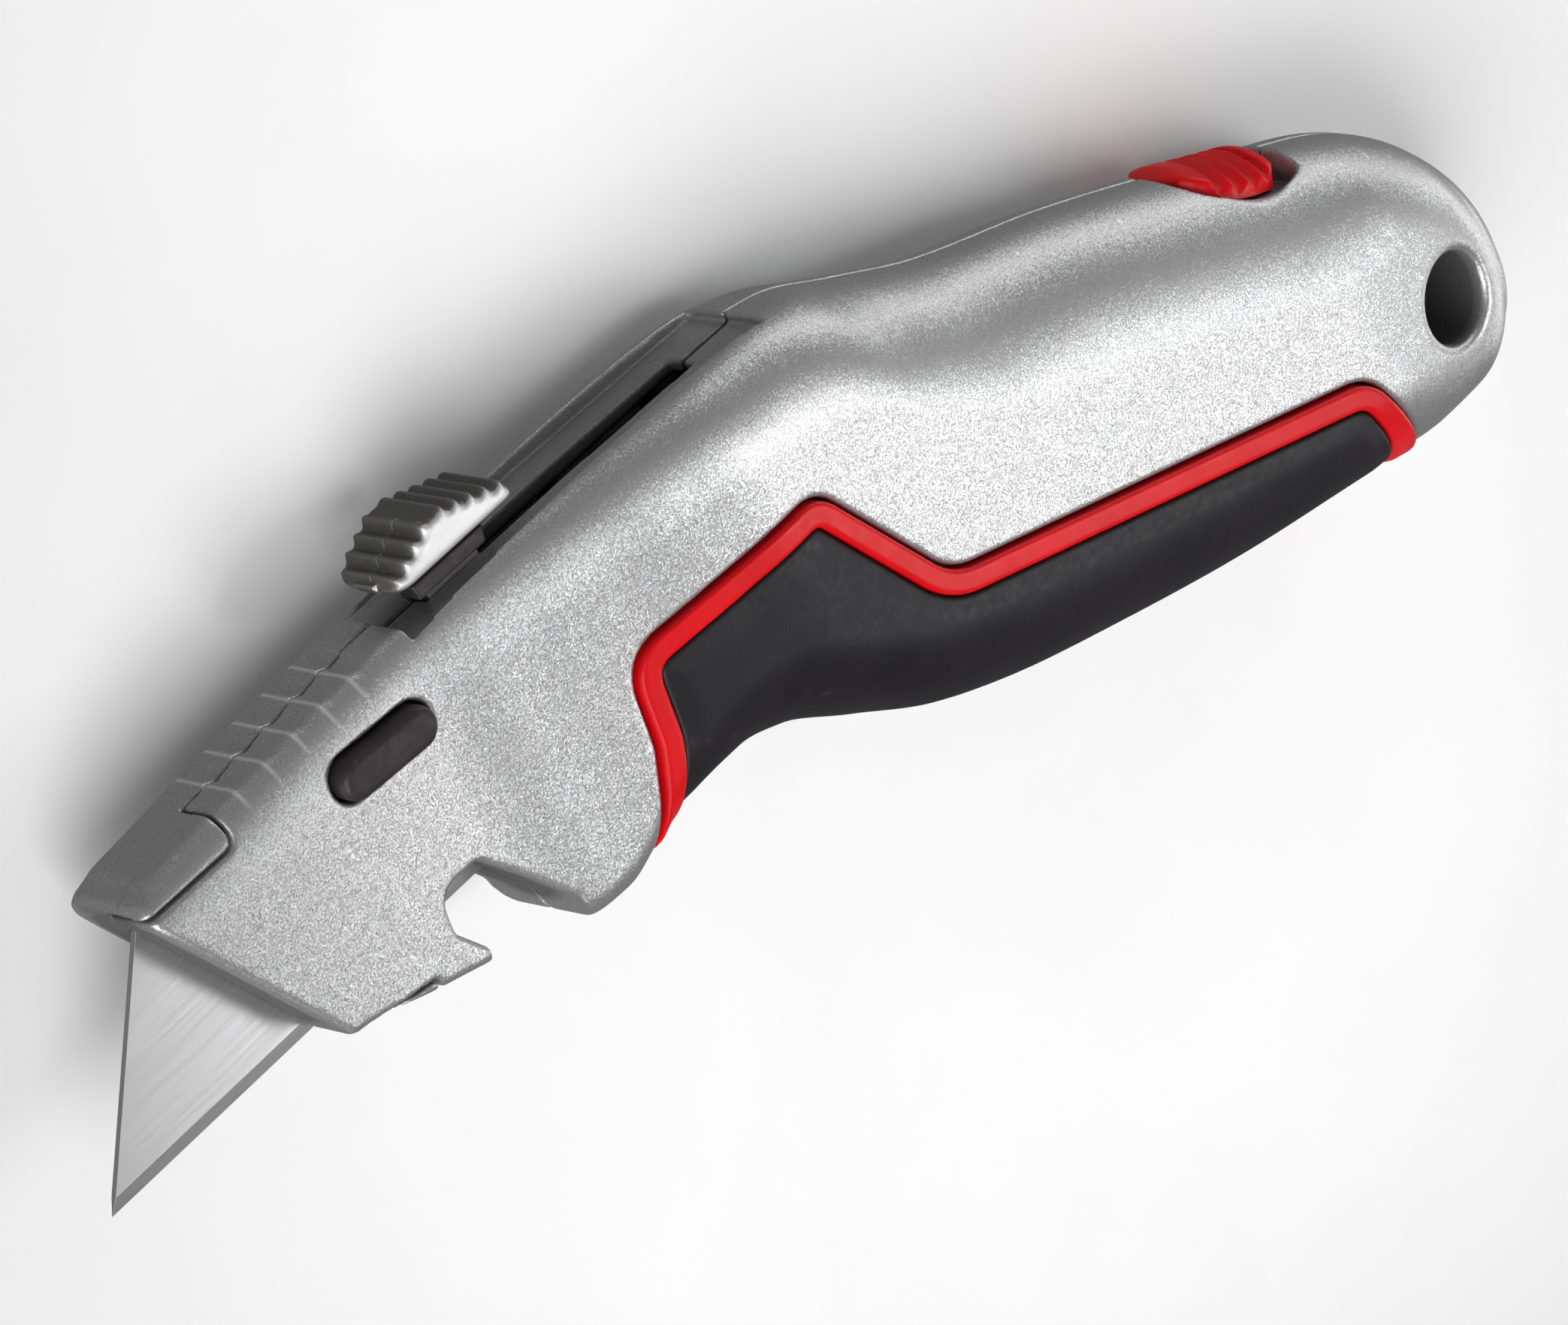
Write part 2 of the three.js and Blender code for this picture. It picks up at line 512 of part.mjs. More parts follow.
// ---------------------------------------------------------------- the knife
const knife = new THREE.Group();
const add = (name, shape, material) => knife.add(piece(name, shape, material));

add('right_case', rightCase(), MATERIAL.silver);
add('left_case', leftCase(), MATERIAL.silver);
for (const [name, side] of [['right', farSide], ['left', nearSide]]) {
  const [pad, trim] = gripPieces(side);
  add(`${name}_grip_pad`, pad, MATERIAL.rubber);
  add(`${name}_grip_trim`, trim, MATERIAL.red);
}
add('blade', bladeSolid(-BLADE_THICKNESS / 2), MATERIAL.blade);
add('blade_carrier', bladeCarrier(), MATERIAL.dark);
add('blade_clamp_leaf', clampLeaf(), MATERIAL.steel);
add('clamp_rivet', clampRivet(), MATERIAL.steel);
add('thumb_slider', thumbSlider(), MATERIAL.slider);
add('thumb_slider_spring', plate(bow(53.8, 60.2, 12.9, 15.9, 0.3), -1.8, 1.8), MATERIAL.steel);
add('detent_strip', detentStrip(), MATERIAL.steel);
add('blade_release_button', releaseButton(), MATERIAL.dark);
add('button_keeper', buttonKeeper(), MATERIAL.steel);
add('release_button_spring', plateAlongY(swapped(bow(38.8, 46.2, 1.8, 2.6, 0.25)), 16.2, 18.6), MATERIAL.steel);
add('latch_button', placed(latchButton(), LATCH), MATERIAL.red);
add('latch_plate', placed(latchPlate(), LATCH), MATERIAL.steel);
add('latch_screw', placed(latchScrew(), LATCH), MATERIAL.steel);
add('latch_spring', placed(plate(bow(12.3, 16.3, -6.3, -5.1, 0.25, 8), 0, 4), LATCH), MATERIAL.steel);
add('blade_magazine', placed(magazineTray(), MAGAZINE), MATERIAL.dark);
for (let i = 0; i < SPARE_BLADES; i += 1) {
  add(`spare_blade_${i + 1}`, placed(spareBlade(i), MAGAZINE), MATERIAL.blade);
}
add('magazine_spring', placed(magazineSpring(), MAGAZINE), MATERIAL.steel);

const extent = new THREE.Box3().setFromObject(knife);
const middle = extent.getCenter(new THREE.Vector3());
knife.position.set(-middle.x, -middle.y, -extent.min.z);

export default knife;
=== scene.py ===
"""Looks of the retractable utility knife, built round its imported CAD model.

The cast, moulded and rubber pieces are modelled as signed-distance fields on a regular grid, which gives
them the soft edges of real castings, and are then turned into meshes. The fields work in millimetres in the
knife's own side view: X from the blade's tip to the tail, Y from the cutting edge to the thumb slider, and Z
across the case, with 0 on the parting plane. The meshes are written in the row frame, in metres.
"""

import json
import math

import bpy
import numpy as np
import openvdb
from mathutils import Matrix, Vector

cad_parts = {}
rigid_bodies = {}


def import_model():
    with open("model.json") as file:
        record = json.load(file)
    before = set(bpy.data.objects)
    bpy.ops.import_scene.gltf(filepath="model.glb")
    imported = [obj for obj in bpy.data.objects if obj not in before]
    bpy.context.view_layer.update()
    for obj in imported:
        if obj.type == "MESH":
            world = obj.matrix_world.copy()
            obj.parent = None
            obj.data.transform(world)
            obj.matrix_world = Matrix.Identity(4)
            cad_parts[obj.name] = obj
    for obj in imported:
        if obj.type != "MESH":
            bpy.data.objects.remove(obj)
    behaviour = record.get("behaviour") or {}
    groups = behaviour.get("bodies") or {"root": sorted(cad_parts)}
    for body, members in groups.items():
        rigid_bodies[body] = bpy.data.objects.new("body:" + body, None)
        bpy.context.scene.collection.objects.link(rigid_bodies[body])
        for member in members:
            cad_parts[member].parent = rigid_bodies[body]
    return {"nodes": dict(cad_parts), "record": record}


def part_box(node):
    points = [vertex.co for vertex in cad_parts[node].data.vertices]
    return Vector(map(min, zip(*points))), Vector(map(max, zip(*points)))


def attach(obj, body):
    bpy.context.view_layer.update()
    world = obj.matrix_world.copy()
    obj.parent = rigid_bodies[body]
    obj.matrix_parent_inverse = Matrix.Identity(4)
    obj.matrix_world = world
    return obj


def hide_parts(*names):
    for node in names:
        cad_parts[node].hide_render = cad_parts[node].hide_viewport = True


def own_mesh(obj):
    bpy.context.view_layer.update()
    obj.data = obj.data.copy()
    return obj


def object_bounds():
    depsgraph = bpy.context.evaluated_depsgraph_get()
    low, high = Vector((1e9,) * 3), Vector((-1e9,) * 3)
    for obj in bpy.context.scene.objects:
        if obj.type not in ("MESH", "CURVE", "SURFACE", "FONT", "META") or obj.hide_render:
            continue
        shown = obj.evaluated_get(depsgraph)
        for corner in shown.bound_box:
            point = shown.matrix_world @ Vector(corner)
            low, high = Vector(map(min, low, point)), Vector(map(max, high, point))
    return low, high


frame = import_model()
cad_low, cad_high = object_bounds()

# ---------------------------------------------------------------- driving dimensions, mm
MM = 0.001
BLADE_LOW, BLADE_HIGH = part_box("blade")
ORIGIN = np.array([BLADE_LOW.x, BLADE_LOW.y, (BLADE_LOW.z + BLADE_HIGH.z) / 2]) / MM
CASE_STEP = 0.28      # grid pitch of the case halves
GRIP_STEP = 0.24
FINE_STEP = 0.13     # grid pitch of the buttons and the slider
CASE_KEEP, TRIM_KEEP, PAD_KEEP = 0.38, 0.6, 0.45   # share of the faces that each mesh keeps
TAIL_X = cad_high.x / MM - ORIGIN[0]
SEAM = 0.12                                  # each half stands this far from the parting plane
GAP = 0.3                                    # clearance between neighbouring pieces
SINK = 0.55                                  # the cast sides lie this far below the grips
WALL = 1.0                                   # least thickness of the cast shell

# Case profiles as [x, value] points.
TOP_EDGE = [
    [8, 23.2], [16, 23.8], [30, 24.8], [46, 25.4], [70, 25.4], [90, 24.9], [98, 23.6], [106, 19.8],
    [115, 15.4], [130, 10.2], [142, 5.3], [156, -0.9], [163, -4.2], [168, -7.9], [172, -12.6], [174.6, -17.8],
    [TAIL_X, -24.4],
]
BOTTOM_EDGE = [
    [8, 0.3], [25, 0], [35, -2.6], [45, -5.6], [50, -7.6], [53, -8.5], [56, -8.7], [59, -7.9], [62, -6.5],
    [66, -6.1], [72, -6.1], [78, -7.7], [86, -12.6], [94, -17.6], [103, -21.4], [114, -24.8], [132, -29.6],
    [150, -33.3], [160, -35.5], [166, -35.8], [171, -33.7], [174.2, -29.8], [TAIL_X, -24.6],
]
HALF_WIDTH = [
    [8, 6], [44, 6], [54, 6.9], [64, 8.4], [76, 10.2], [84, 11], [150, 11], [160, 10.5], [168, 9.6],
    [171.5, 8.2], [174, 5.6], [175.2, 3], [TAIL_X, 0.4],
]
# Rounding of the upper and lower shoulders: how far it reaches down the side, and in from the side.
TOP_ROUND_Y = [
    [8, 5.5], [25, 6.8], [48, 7.2], [70, 8], [94, 10], [104, 13], [115, 14.5], [150, 14.5], [160, 11],
]
TOP_ROUND_Z = [[8, 2.7], [48, 2.7], [70, 4.2], [94, 7.3], [104, 10.5], [115, 11], [150, 11], [160, 9.8]]
BOTTOM_ROUND_Y = [[8, 1], [44, 1], [50, 2.2], [60, 4], [70, 7], [84, 9.5], [100, 10]]
BOTTOM_ROUND_Z = [[8, 1], [44, 1], [50, 2.2], [60, 4.2], [70, 7], [84, 9], [100, 9.5]]

NOSE_FACE = [[36.4, -20], [25, 0], [13.3, 20.5], [12.8, 21.9], [13.2, 23], [14.4, 23.7], [15, 60]]
LUG = [[0, 40, 0], [0, 21.7, 0], [23.5, 21.7, 1.2], [23.6, 40, 0]]
LIP = [[22, 0.2, 0], [34.4, -1.4, 0.6], [34.8, -5, 0], [22, -5, 0]]
# Ribs on top of the nose. The highlight painted along their crests reaches down to `foot` and out to `ends`,
# and is left out before and after the given shares of the pitch.
RIB_CRESTS = {"first": 26.6, "pitch": 3.65, "count": 5, "half": 4.8, "depth": 0.42}
RIB_CREST_HIGHLIGHT = {"foot": 22.6, "fade": 1.2, "ends": (4.6, 6.0), "from": (-0.2, -0.1), "to": (4.3, 4.5)}
CHANNEL = {"x0": 48, "x1": 94, "floor": 24.1, "drop": 0.6, "half": 4.8}
SLOT = {"x0": 53, "x1": 87.9, "floor": 20, "half": 1.5}
BLADE_ROOM = {"x0": 5, "x1": 92, "y0": -0.4, "y1": 19.4, "half": 0.6}
# [x, y, corner radius] outlines.
NOTCH = [
    [40.3, -9.5, 0], [40.5, -2.7, 0.9], [38.2, 0.6, 0.7], [38.4, 4.7, 2.4], [43.3, 4.6, 1.6], [47.3, -0.6, 5],
    [50.4, -5, 2], [51.5, -9.5, 0],
]
GRIP = [
    [58, -13, 0], [63.4, 1.6, 5], [64.2, 10.2, 4.4], [87.4, 11.0, 3.9], [97, -4.8, 7.5], [149, -21.2, 6],
    [155, -34, 0], [155, -40, 0], [58, -40, 0],
]
TRIM_WIDTH = 2.3
GRIP_DEPTH = 2
TRIM_SOFT = 0.45
FINGER_SCOOP = {"u": 9.6, "v": -0.4, "z": 7.2, "radii": (4.6, 2.6, 3.4)}
WINDOW = {"length": 11.9, "width": 4.4, "tilt": -3}
BUTTON_X = 39.7
LATCH = {"x": 142, "y": 5.3, "tilt": -24.2, "front": 0.8, "length": 13, "half": 5.7, "nose": 7,
         "travel": 2.5}
LATCH_RIBS = {"first": 4.4, "pitch": 2.05, "count": 4, "depth": 0.8}
LATCH_CROWN = {"height": 0.7, "radius": 11, "bulge": 14.5, "front_drop": 1.3}
LATCH_DEPTH = 2.9
HOLE_RADIUS = 4.4
SLIDER = {"front": 49.0, "ramp": (49.1, 28.2), "peak": (55.2, 31.2), "crown": (55.9, 31.2),
          "heel": (63.9, 28.7), "back": 64.2, "base": 27.4, "half": 4.2}
SLIDER_WAVES = ((4, 0.6), (5, 0.55))         # count and height of the ridges on its ramp and on its back
SHOE = {"outline": [[51.2, 25.7], [59.6, 25.7], [60, 27.3], [50.9, 27.3]], "half": 3.7, "stem_half": 1.25}
BEVEL = {"height": 1.3, "edge": 0.03}
SPINE = 33                                   # length of the blade's back
BLADE_NOTCHES = {"at": (38.5, 23.5), "radius": 1.5, "above": 0.3}
PRESS_ROOM = 0.7                             # the release button's foot stays this far above its spring


# ---------------------------------------------------------------- curves, outlines and fields
def curve(points):
    """Smooth curve through [x, value] points that never overshoots them."""
    px, pv = np.array(points, float).T
    slope = np.diff(pv) / np.diff(px)
    before = np.concatenate([slope[:1], slope])
    after = np.concatenate([slope, slope[-1:]])
    product = before * after
    total = np.where(product > 0, before + after, 1)
    tangent = np.where(product > 0, 2 * product / total, 0)

    def value(x):
        x = np.clip(x, px[0], px[-1])
        i = np.clip(np.searchsorted(px, x, side="right") - 1, 0, len(px) - 2)
        h = px[i + 1] - px[i]
        t = (x - px[i]) / h
        return (
            (2 * t**3 - 3 * t**2 + 1) * pv[i] + (t**3 - 2 * t**2 + t) * h * tangent[i]
            + (3 * t**2 - 2 * t**3) * pv[i + 1] + (t**3 - t**2) * h * tangent[i + 1]
        )

    return value


def rounded(points, steps=8):
    """Outline with rounded corners, from [x, y, radius] points."""
    path = []
    for i, (x, y, radius) in enumerate(points):
        here = Vector((x, y))
        if not radius:
            path.append((x, y))
            continue
        back = (Vector(points[i - 1][:2]) - here).normalized()
        on = (Vector(points[(i + 1) % len(points)][:2]) - here).normalized()
        reach = radius / math.tan(back.angle(on) / 2)
        start, end = here + back * reach, here + on * reach
        for k in range(steps + 1):
            t = k / steps
            path.append(tuple(start * (1 - t) ** 2 + here * (2 * t * (1 - t)) + end * t**2))
    return path


def outline_field(points, a, b):
    """Signed distance in a plane to a closed outline, negative inside."""
    a, b = np.broadcast_arrays(a, b)
    nearest = np.full(a.shape, 1e9, np.float32)
    inside = np.zeros(a.shape, bool)
    for (x0, y0), (x1, y1) in zip(points, [*points[1:], points[0]]):
        dx, dy = x1 - x0, y1 - y0
        if dx == dy == 0:
            continue
        t = np.clip(((a - x0) * dx + (b - y0) * dy) / (dx * dx + dy * dy), 0, 1)
        nearest = np.minimum(nearest, (a - x0 - t * dx) ** 2 + (b - y0 - t * dy) ** 2)
        if y0 != y1:
            crosses = (b < y0) != (b < y1)
            inside ^= crosses & (a < x0 + (b - y0) * dx / dy)
    return np.where(inside, -1, 1) * np.sqrt(nearest)


def oblong_field(a, b, length, width):
    """Signed distance in a plane to a strip with round ends."""
    reach = (length - width) / 2
    return np.hypot(np.maximum(np.abs(a) - reach, 0), b) - width / 2


def both(a, b, soft=0.0):
    """Field of what lies in both solids, their edge rounded by a soft reach."""
    if np.isscalar(soft) and not soft:
        return np.maximum(a, b)
    return np.maximum(a, b) + np.maximum(soft - np.abs(a - b), 0) ** 2 / (4 * soft)


def either(a, b, soft=0.0):
    return -both(-a, -b, soft)


def without(a, b, soft=0.0):
    return both(a, -b, soft)


def smoothstep(t):
    t = np.clip(t, 0, 1)
    return t * t * (3 - 2 * t)


class Grid:
    """Regular grid of points, with its coordinates ready for broadcasting."""

    def __init__(self, low, high, step):
        self.low, self.step = np.array(low, float), step
        self.count = np.ceil((np.array(high) - self.low) / step).astype(int) + 1
        axes = [self.low[i] + step * np.arange(self.count[i]) for i in range(3)]
        self.x, self.y, self.z = (
            axis.astype(np.float32).reshape([-1 if i == j else 1 for j in range(3)])
            for i, axis in enumerate(axes)
        )

    def turned(self, place):
        """Coordinates (u, v) in the side view of a tilted part, whose origin is (x, y)."""
        angle = math.radians(place["tilt"])
        dx, dy = self.x - place["x"], self.y - place["y"]
        return dx * math.cos(angle) + dy * math.sin(angle), dy * math.cos(angle) - dx * math.sin(angle)

    def unit_slope(self, field):
        """The field divided by its slope, so that it reads as a distance near its surface."""
        slope = np.sqrt(sum(d * d for d in np.gradient(field, self.step)))
        return field / np.maximum(slope, 0.3)

    def cad(self, node):
        """Signed distance to a CAD node near its surface."""
        mesh = frame["nodes"][node].data
        mesh.calc_loop_triangles()
        points = np.zeros(len(mesh.vertices) * 3, np.float32)
        mesh.vertices.foreach_get("co", points)
        triangles = np.zeros(len(mesh.loop_triangles) * 3, np.int32)
        mesh.loop_triangles.foreach_get("vertices", triangles)
        points = (points.reshape(-1, 3) / MM - ORIGIN - self.low) / self.step
        volume = openvdb.FloatGrid.createLevelSetFromPolygons(
            points.astype(np.float32), triangles=triangles.reshape(-1, 3).astype(np.uint32),
            transform=openvdb.createLinearTransform(1.0), halfWidth=3.0)
        field = np.full(self.count, 3.0, np.float32)
        volume.copyToArray(field)
        return field * self.step

    def mesh(self, name, field, keep=1.0):
        """Closed mesh of the field's surface in the row frame, with normals taken from the field."""
        volume = openvdb.FloatGrid(background=3 * self.step)
        volume.copyFromArray(np.clip(field, -3 * self.step, 3 * self.step).astype(np.float32))
        points, triangles, quads = volume.convertToPolygons(isovalue=0.0, adaptivity=0.0)
        points = (points * self.step + self.low + ORIGIN) * MM
        mesh = bpy.data.meshes.new(name)
        mesh.from_pydata(points.tolist(), [], [*triangles.tolist(), *quads.tolist()])
        mesh.validate()
        mesh.shade_smooth()
        piece = bpy.data.objects.new(name, mesh)
        bpy.context.scene.collection.objects.link(piece)
        if keep < 1:
            thinned(piece, keep)
        self.smooth_normals(piece.data, field)
        return piece

    def paint_depth(self, mesh, field):
        """Stores how far below the outer surface each vertex lies, in millimetres, for the shade painted into
        recesses.
        """
        points = np.zeros(len(mesh.vertices) * 3, np.float32)
        mesh.vertices.foreach_get("co", points)
        at = (points.reshape(-1, 3) / MM - ORIGIN - self.low) / self.step
        depth = mesh.attributes.new("depth", "FLOAT", "POINT")
        depth.data.foreach_set("value", (-self.sample(field, at)).astype(np.float32))

    def smooth_normals(self, mesh, field):
        """Sets the mesh's normals to the field's slope at each vertex."""
        points = np.zeros(len(mesh.vertices) * 3, np.float32)
        mesh.vertices.foreach_get("co", points)
        at = (points.reshape(-1, 3) / MM - ORIGIN - self.low) / self.step
        reach = 0.6
        normals = np.stack([
            self.sample(field, at + reach * axis) - self.sample(field, at - reach * axis)
            for axis in np.eye(3)
        ], axis=1)
        normals /= np.maximum(np.linalg.norm(normals, axis=1, keepdims=True), 1e-9)
        mesh.normals_split_custom_set_from_vertices(normals.tolist())

    def sample(self, field, at):
        """Trilinear values of the field at grid coordinates."""
        at = np.clip(at, 0, self.count - 1.001)
        i = at.astype(int)
        f = at - i
        value = 0
        for corner in np.ndindex(2, 2, 2):
            weight = np.prod(np.where(corner, f, 1 - f), axis=1)
            value = value + weight * field[tuple((i + corner).T)]
        return value


def thinned(piece, keep):
    """Applies a Decimate that keeps this share of the faces."""
    thin = piece.modifiers.new("thin", "DECIMATE")
    thin.ratio = keep
    graph = bpy.context.evaluated_depsgraph_get()
    mesh = bpy.data.meshes.new_from_object(piece.evaluated_get(graph))
    piece.modifiers.clear()
    old, piece.data = piece.data, mesh
    bpy.data.meshes.remove(old)
    mesh.name = piece.name
    mesh.shade_smooth()


# ---------------------------------------------------------------- the case's body
def corner_field(p, q, reach_p, reach_q):
    """Quarter of a cross-section: two straight edges joined by an elliptical shoulder."""
    k0 = np.hypot(p / reach_p, q / reach_q)
    k1 = np.hypot(p / reach_p**2, q / reach_q**2)
    shoulder = k0 * (k0 - 1) / np.maximum(k1, 1e-6)
    return np.where((p > 0) & (q > 0), shoulder, np.maximum(p - reach_p, q - reach_q))


def body_field(g):
    """Outer surface of the closed case, without its openings."""
    x = g.x
    top, bottom = curve(TOP_EDGE)(x), curve(BOTTOM_EDGE)(x)
    half = curve(HALF_WIDTH)(x) - SINK * smoothstep((x - 50) / 20)
    half = np.maximum(half, 0.2)
    top_y, bottom_y = curve(TOP_ROUND_Y)(x), curve(BOTTOM_ROUND_Y)(x)
    shrink = np.minimum(1, 0.92 * (top - bottom) / (top_y + bottom_y))
    top_z = np.minimum(curve(TOP_ROUND_Z)(x), half * 0.98)
    bottom_z = np.minimum(curve(BOTTOM_ROUND_Z)(x), half * 0.98)
    z = np.abs(g.z)
    upper = corner_field(g.y - top + top_y * shrink, z - half + top_z, top_y * shrink, top_z)
    lower = corner_field(bottom + bottom_y * shrink - g.y, z - half + bottom_z, bottom_y * shrink, bottom_z)
    field = both(upper, lower)
    return g.unit_slope(both(field, np.broadcast_to(x - TAIL_X, field.shape)))


def rib_relief(g):
    """Depth of the soft sawtooth on top of the nose: a slow rise to each crest and a quick fall after it."""
    first, pitch, count = (RIB_CRESTS[key] for key in ("first", "pitch", "count"))
    phase = (g.x - first) / pitch
    tooth = np.mod(phase, 1)
    fall = smoothstep(tooth / 0.34)
    rise = np.clip((tooth - 0.34) / 0.66, 0, 1) ** 1.3
    depth = np.where((phase > 0) & (phase < count - 0.3), fall - rise, 0)
    depth = depth * smoothstep((RIB_CRESTS["half"] - np.abs(g.z)) / 3.2)
    return RIB_CRESTS["depth"] * depth * smoothstep((g.y - 21) / 2.5)


def latch_plan(front, back, half):
    """Latch outline in plan, (z, u): a rounded front, straight sides and softly rounded rear corners."""
    angles = [-math.pi / 2 + math.pi * i / 16 for i in range(17)]
    points = [(half * math.sin(a), front + LATCH["nose"] * (1 - math.cos(a))) for a in angles]
    rear = [(half, back - 3.6), (half - 0.35, back - 1.8), (half - 0.8, back - 0.6), (half - 1.4, back)]
    return [*points, *rear, *((-z, u) for z, u in reversed(rear))]


def latch_room(g):
    u, v = g.turned(LATCH)
    u, v, z = np.broadcast_arrays(u, v, g.z)
    back = LATCH["length"] + LATCH["travel"] + GAP
    plan = outline_field(latch_plan(LATCH["front"] - 2 * GAP, back, LATCH["half"] + GAP), z, u)
    return both(plan, -3.2 - v)


def finger_relief(g):
    """Shallow scoop in both walls beside the latch's rear half."""
    u, v = g.turned(LATCH)
    radii = FINGER_SCOOP["radii"]
    offsets = (u - FINGER_SCOOP["u"], v - FINGER_SCOOP["v"], np.abs(g.z) - FINGER_SCOOP["z"])
    return (np.sqrt(sum((offset / radius) ** 2 for offset, radius in zip(offsets, radii))) - 1) * min(radii)


def outer_field(g):
    """Body with its nose face, notch, bores, channel, slot, ribs, latch room and grip seats."""
    plain = body_field(g)
    field = plain + rib_relief(g)
    nose = outline_field([[-10, 60], [-10, -20], *NOSE_FACE], g.x, g.y)
    field = without(field, nose, 0.7 + 1.1 * smoothstep((g.y - 20.5) / 3))
    field = without(field, outline_field(rounded(NOTCH), g.x, g.y), 0.5)
    field = without(field, hole_field(g), 1.1)
    bed = CHANNEL["floor"] - CHANNEL["drop"] * np.clip((g.x - 70) / (CHANNEL["x1"] - 70), 0, 1)
    channel = both(np.maximum(CHANNEL["x0"] - g.x, g.x - CHANNEL["x1"]),
                   np.maximum(bed - g.y, np.abs(g.z) - CHANNEL["half"]))
    field = without(field, channel, 0.15)
    slot = both(np.maximum(SLOT["x0"] - g.x, g.x - SLOT["x1"]),
                np.maximum(SLOT["floor"] - g.y, np.abs(g.z) - SLOT["half"]))
    field = without(field, slot, 0.3)
    field = without(field, latch_room(g), 0.5)
    field = without(field, finger_relief(g), 0.8)
    seat = both(outline_field(rounded(GRIP), g.x, g.y) - GAP, -(plain + GRIP_DEPTH + GAP))
    field = without(field, seat, 0.5)
    blade_room = both(np.maximum(BLADE_ROOM["x0"] - g.x, g.x - BLADE_ROOM["x1"]),
                      np.maximum(BLADE_ROOM["y0"] - g.y, g.y - BLADE_ROOM["y1"]))
    return plain, without(field, both(blade_room, np.abs(g.z) - BLADE_ROOM["half"]), 0.25)


def hole_field(g):
    low, high = opening("hanging_hole")
    middle = (low + high) / 2
    return np.hypot(g.x - middle[0], g.y - middle[1]) - HOLE_RADIUS


def opening(name):
    """Corners of one of the record's openings, in the knife's own millimetres."""
    found = next(o for o in frame["record"]["physics"]["openings"] if o["name"] == name)
    return [np.array(corner) / MM - ORIGIN for corner in found["box_m"]]


def cad_box(node):
    return [np.array(corner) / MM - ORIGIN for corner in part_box(node)]


def window_place():
    low, high = cad_box("blade_release_button")
    centre = (low + high) / 2
    return {"x": BUTTON_X, "y": float(centre[1]), "tilt": WINDOW["tilt"]}


def case_half(side):
    """One case half: +1 is the left, near one. Its inner walls are taken from the CAD node."""
    node = "left_case" if side > 0 else "right_case"
    low, high = cad_box(node)
    g = Grid(low - 1, high + 1, CASE_STEP)
    plain, outer = outer_field(g)
    lug = outline_field(rounded(LUG), g.x, g.y)
    lip = outline_field(rounded(LIP), g.x, g.y)
    if side > 0:
        zone = both(SEAM - g.z, both(GAP - lug, GAP - lip))
        place = window_place()
        u, v = g.turned(place)
        window = both(oblong_field(u, v, WINDOW["length"], WINDOW["width"]), 2 - g.z)
        outer = without(outer, window, 0.35)
    else:
        raised = both(outer - 0.22, lug, 0.5)
        outer = either(outer, both(raised, 2 - g.z), 0.1)
        zone = either(g.z + SEAM, either(lug, lip))
    outer = both(outer, zone, 0.3)
    shell = -(plain + WALL)
    walls = either(shell, g.cad(node) - 0.05)
    field = both(outer, walls)
    piece = g.mesh(node, field, keep=CASE_KEEP)
    # Depth below the outer surface, which the silver paint turns into painted shade in recesses.
    g.paint_depth(piece.data, plain)
    return piece


# ---------------------------------------------------------------- grips
def grip_pieces(side):
    """The red border and the rubber pad of one side, lying in one seat."""
    word = "left" if side > 0 else "right"
    low, high = cad_box(f"{word}_grip_trim")
    low2, high2 = cad_box(f"{word}_grip_pad")
    low, high = np.minimum(low, low2), np.maximum(high, high2)
    g = Grid(low - 1, high + 1, GRIP_STEP)
    body = body_field(g)
    outline = outline_field(rounded(GRIP), g.x, g.y)
    near = 0.15 - side * g.z
    floor = both(-(body + GRIP_DEPTH), near)
    band = both(outline, -(outline + TRIM_WIDTH))
    raised = body - SINK
    trim = both(both(raised, band, TRIM_SOFT), floor, 0.1)
    inset = -(outline + TRIM_WIDTH + GAP * 0.4)
    pillow = raised + 0.12 + 0.2 * (1 - smoothstep(inset / 2.5))
    pad = both(both(pillow, -inset, 0.5), floor, 0.1)
    return g.mesh(f"{word}_grip_trim", trim, keep=TRIM_KEEP), g.mesh(f"{word}_grip_pad", pad, keep=PAD_KEEP)


# ---------------------------------------------------------------- thumb slider
def wave(start, end, count, height, steps=8):
    """Scalloped line of half-round waves between two points."""
    start, end = Vector(start), Vector(end)
    along = end - start
    out = Vector((-along.y, along.x)).normalized()
    points = []
    for i in range(count * steps + 1):
        t = i / (count * steps)
        lift = height * (0.5 - 0.5 * math.cos(2 * math.pi * count * t))
        points.append(tuple(start + along * t + out * lift))
    return points


def thumb_slider():
    low, high = cad_box("thumb_slider")
    g = Grid(low - 0.8, high + 0.8, FINE_STEP)
    front, back, base, half = (SLIDER[key] for key in ("front", "back", "base", "half"))
    ramp_waves, back_waves = SLIDER_WAVES
    profile = [(front + 0.6, base), (front, base + 0.4),
               *wave(SLIDER["ramp"], SLIDER["peak"], *ramp_waves),
               *wave(SLIDER["crown"], SLIDER["heel"], *back_waves),
               (back, base + 1), (back, base)]
    side_view = outline_field(profile, g.x, g.y)
    corners = [[low[0], -half, 2.6], [high[0], -half, 1.3], [high[0], half, 1.3], [low[0], half, 2.6]]
    plan = outline_field(rounded(corners), g.x, g.z)
    cap = both(side_view, plan, 1.1)
    seam = np.abs(g.z - 0.6 - 0.25 * np.sin(0.9 * g.y + 0.4 * g.x)) - 0.02
    cap = cap + 0.12 * (1 - smoothstep(seam / 0.2)) * smoothstep((56 - g.x) / 1.0)
    stem = np.maximum(g.y - 28.5, np.abs(g.z) - 1.3)
    under = np.minimum(stem, g.y - base + 0.05)
    return g.mesh("thumb_slider", either(cap, both(g.cad("thumb_slider"), under), 0.2))


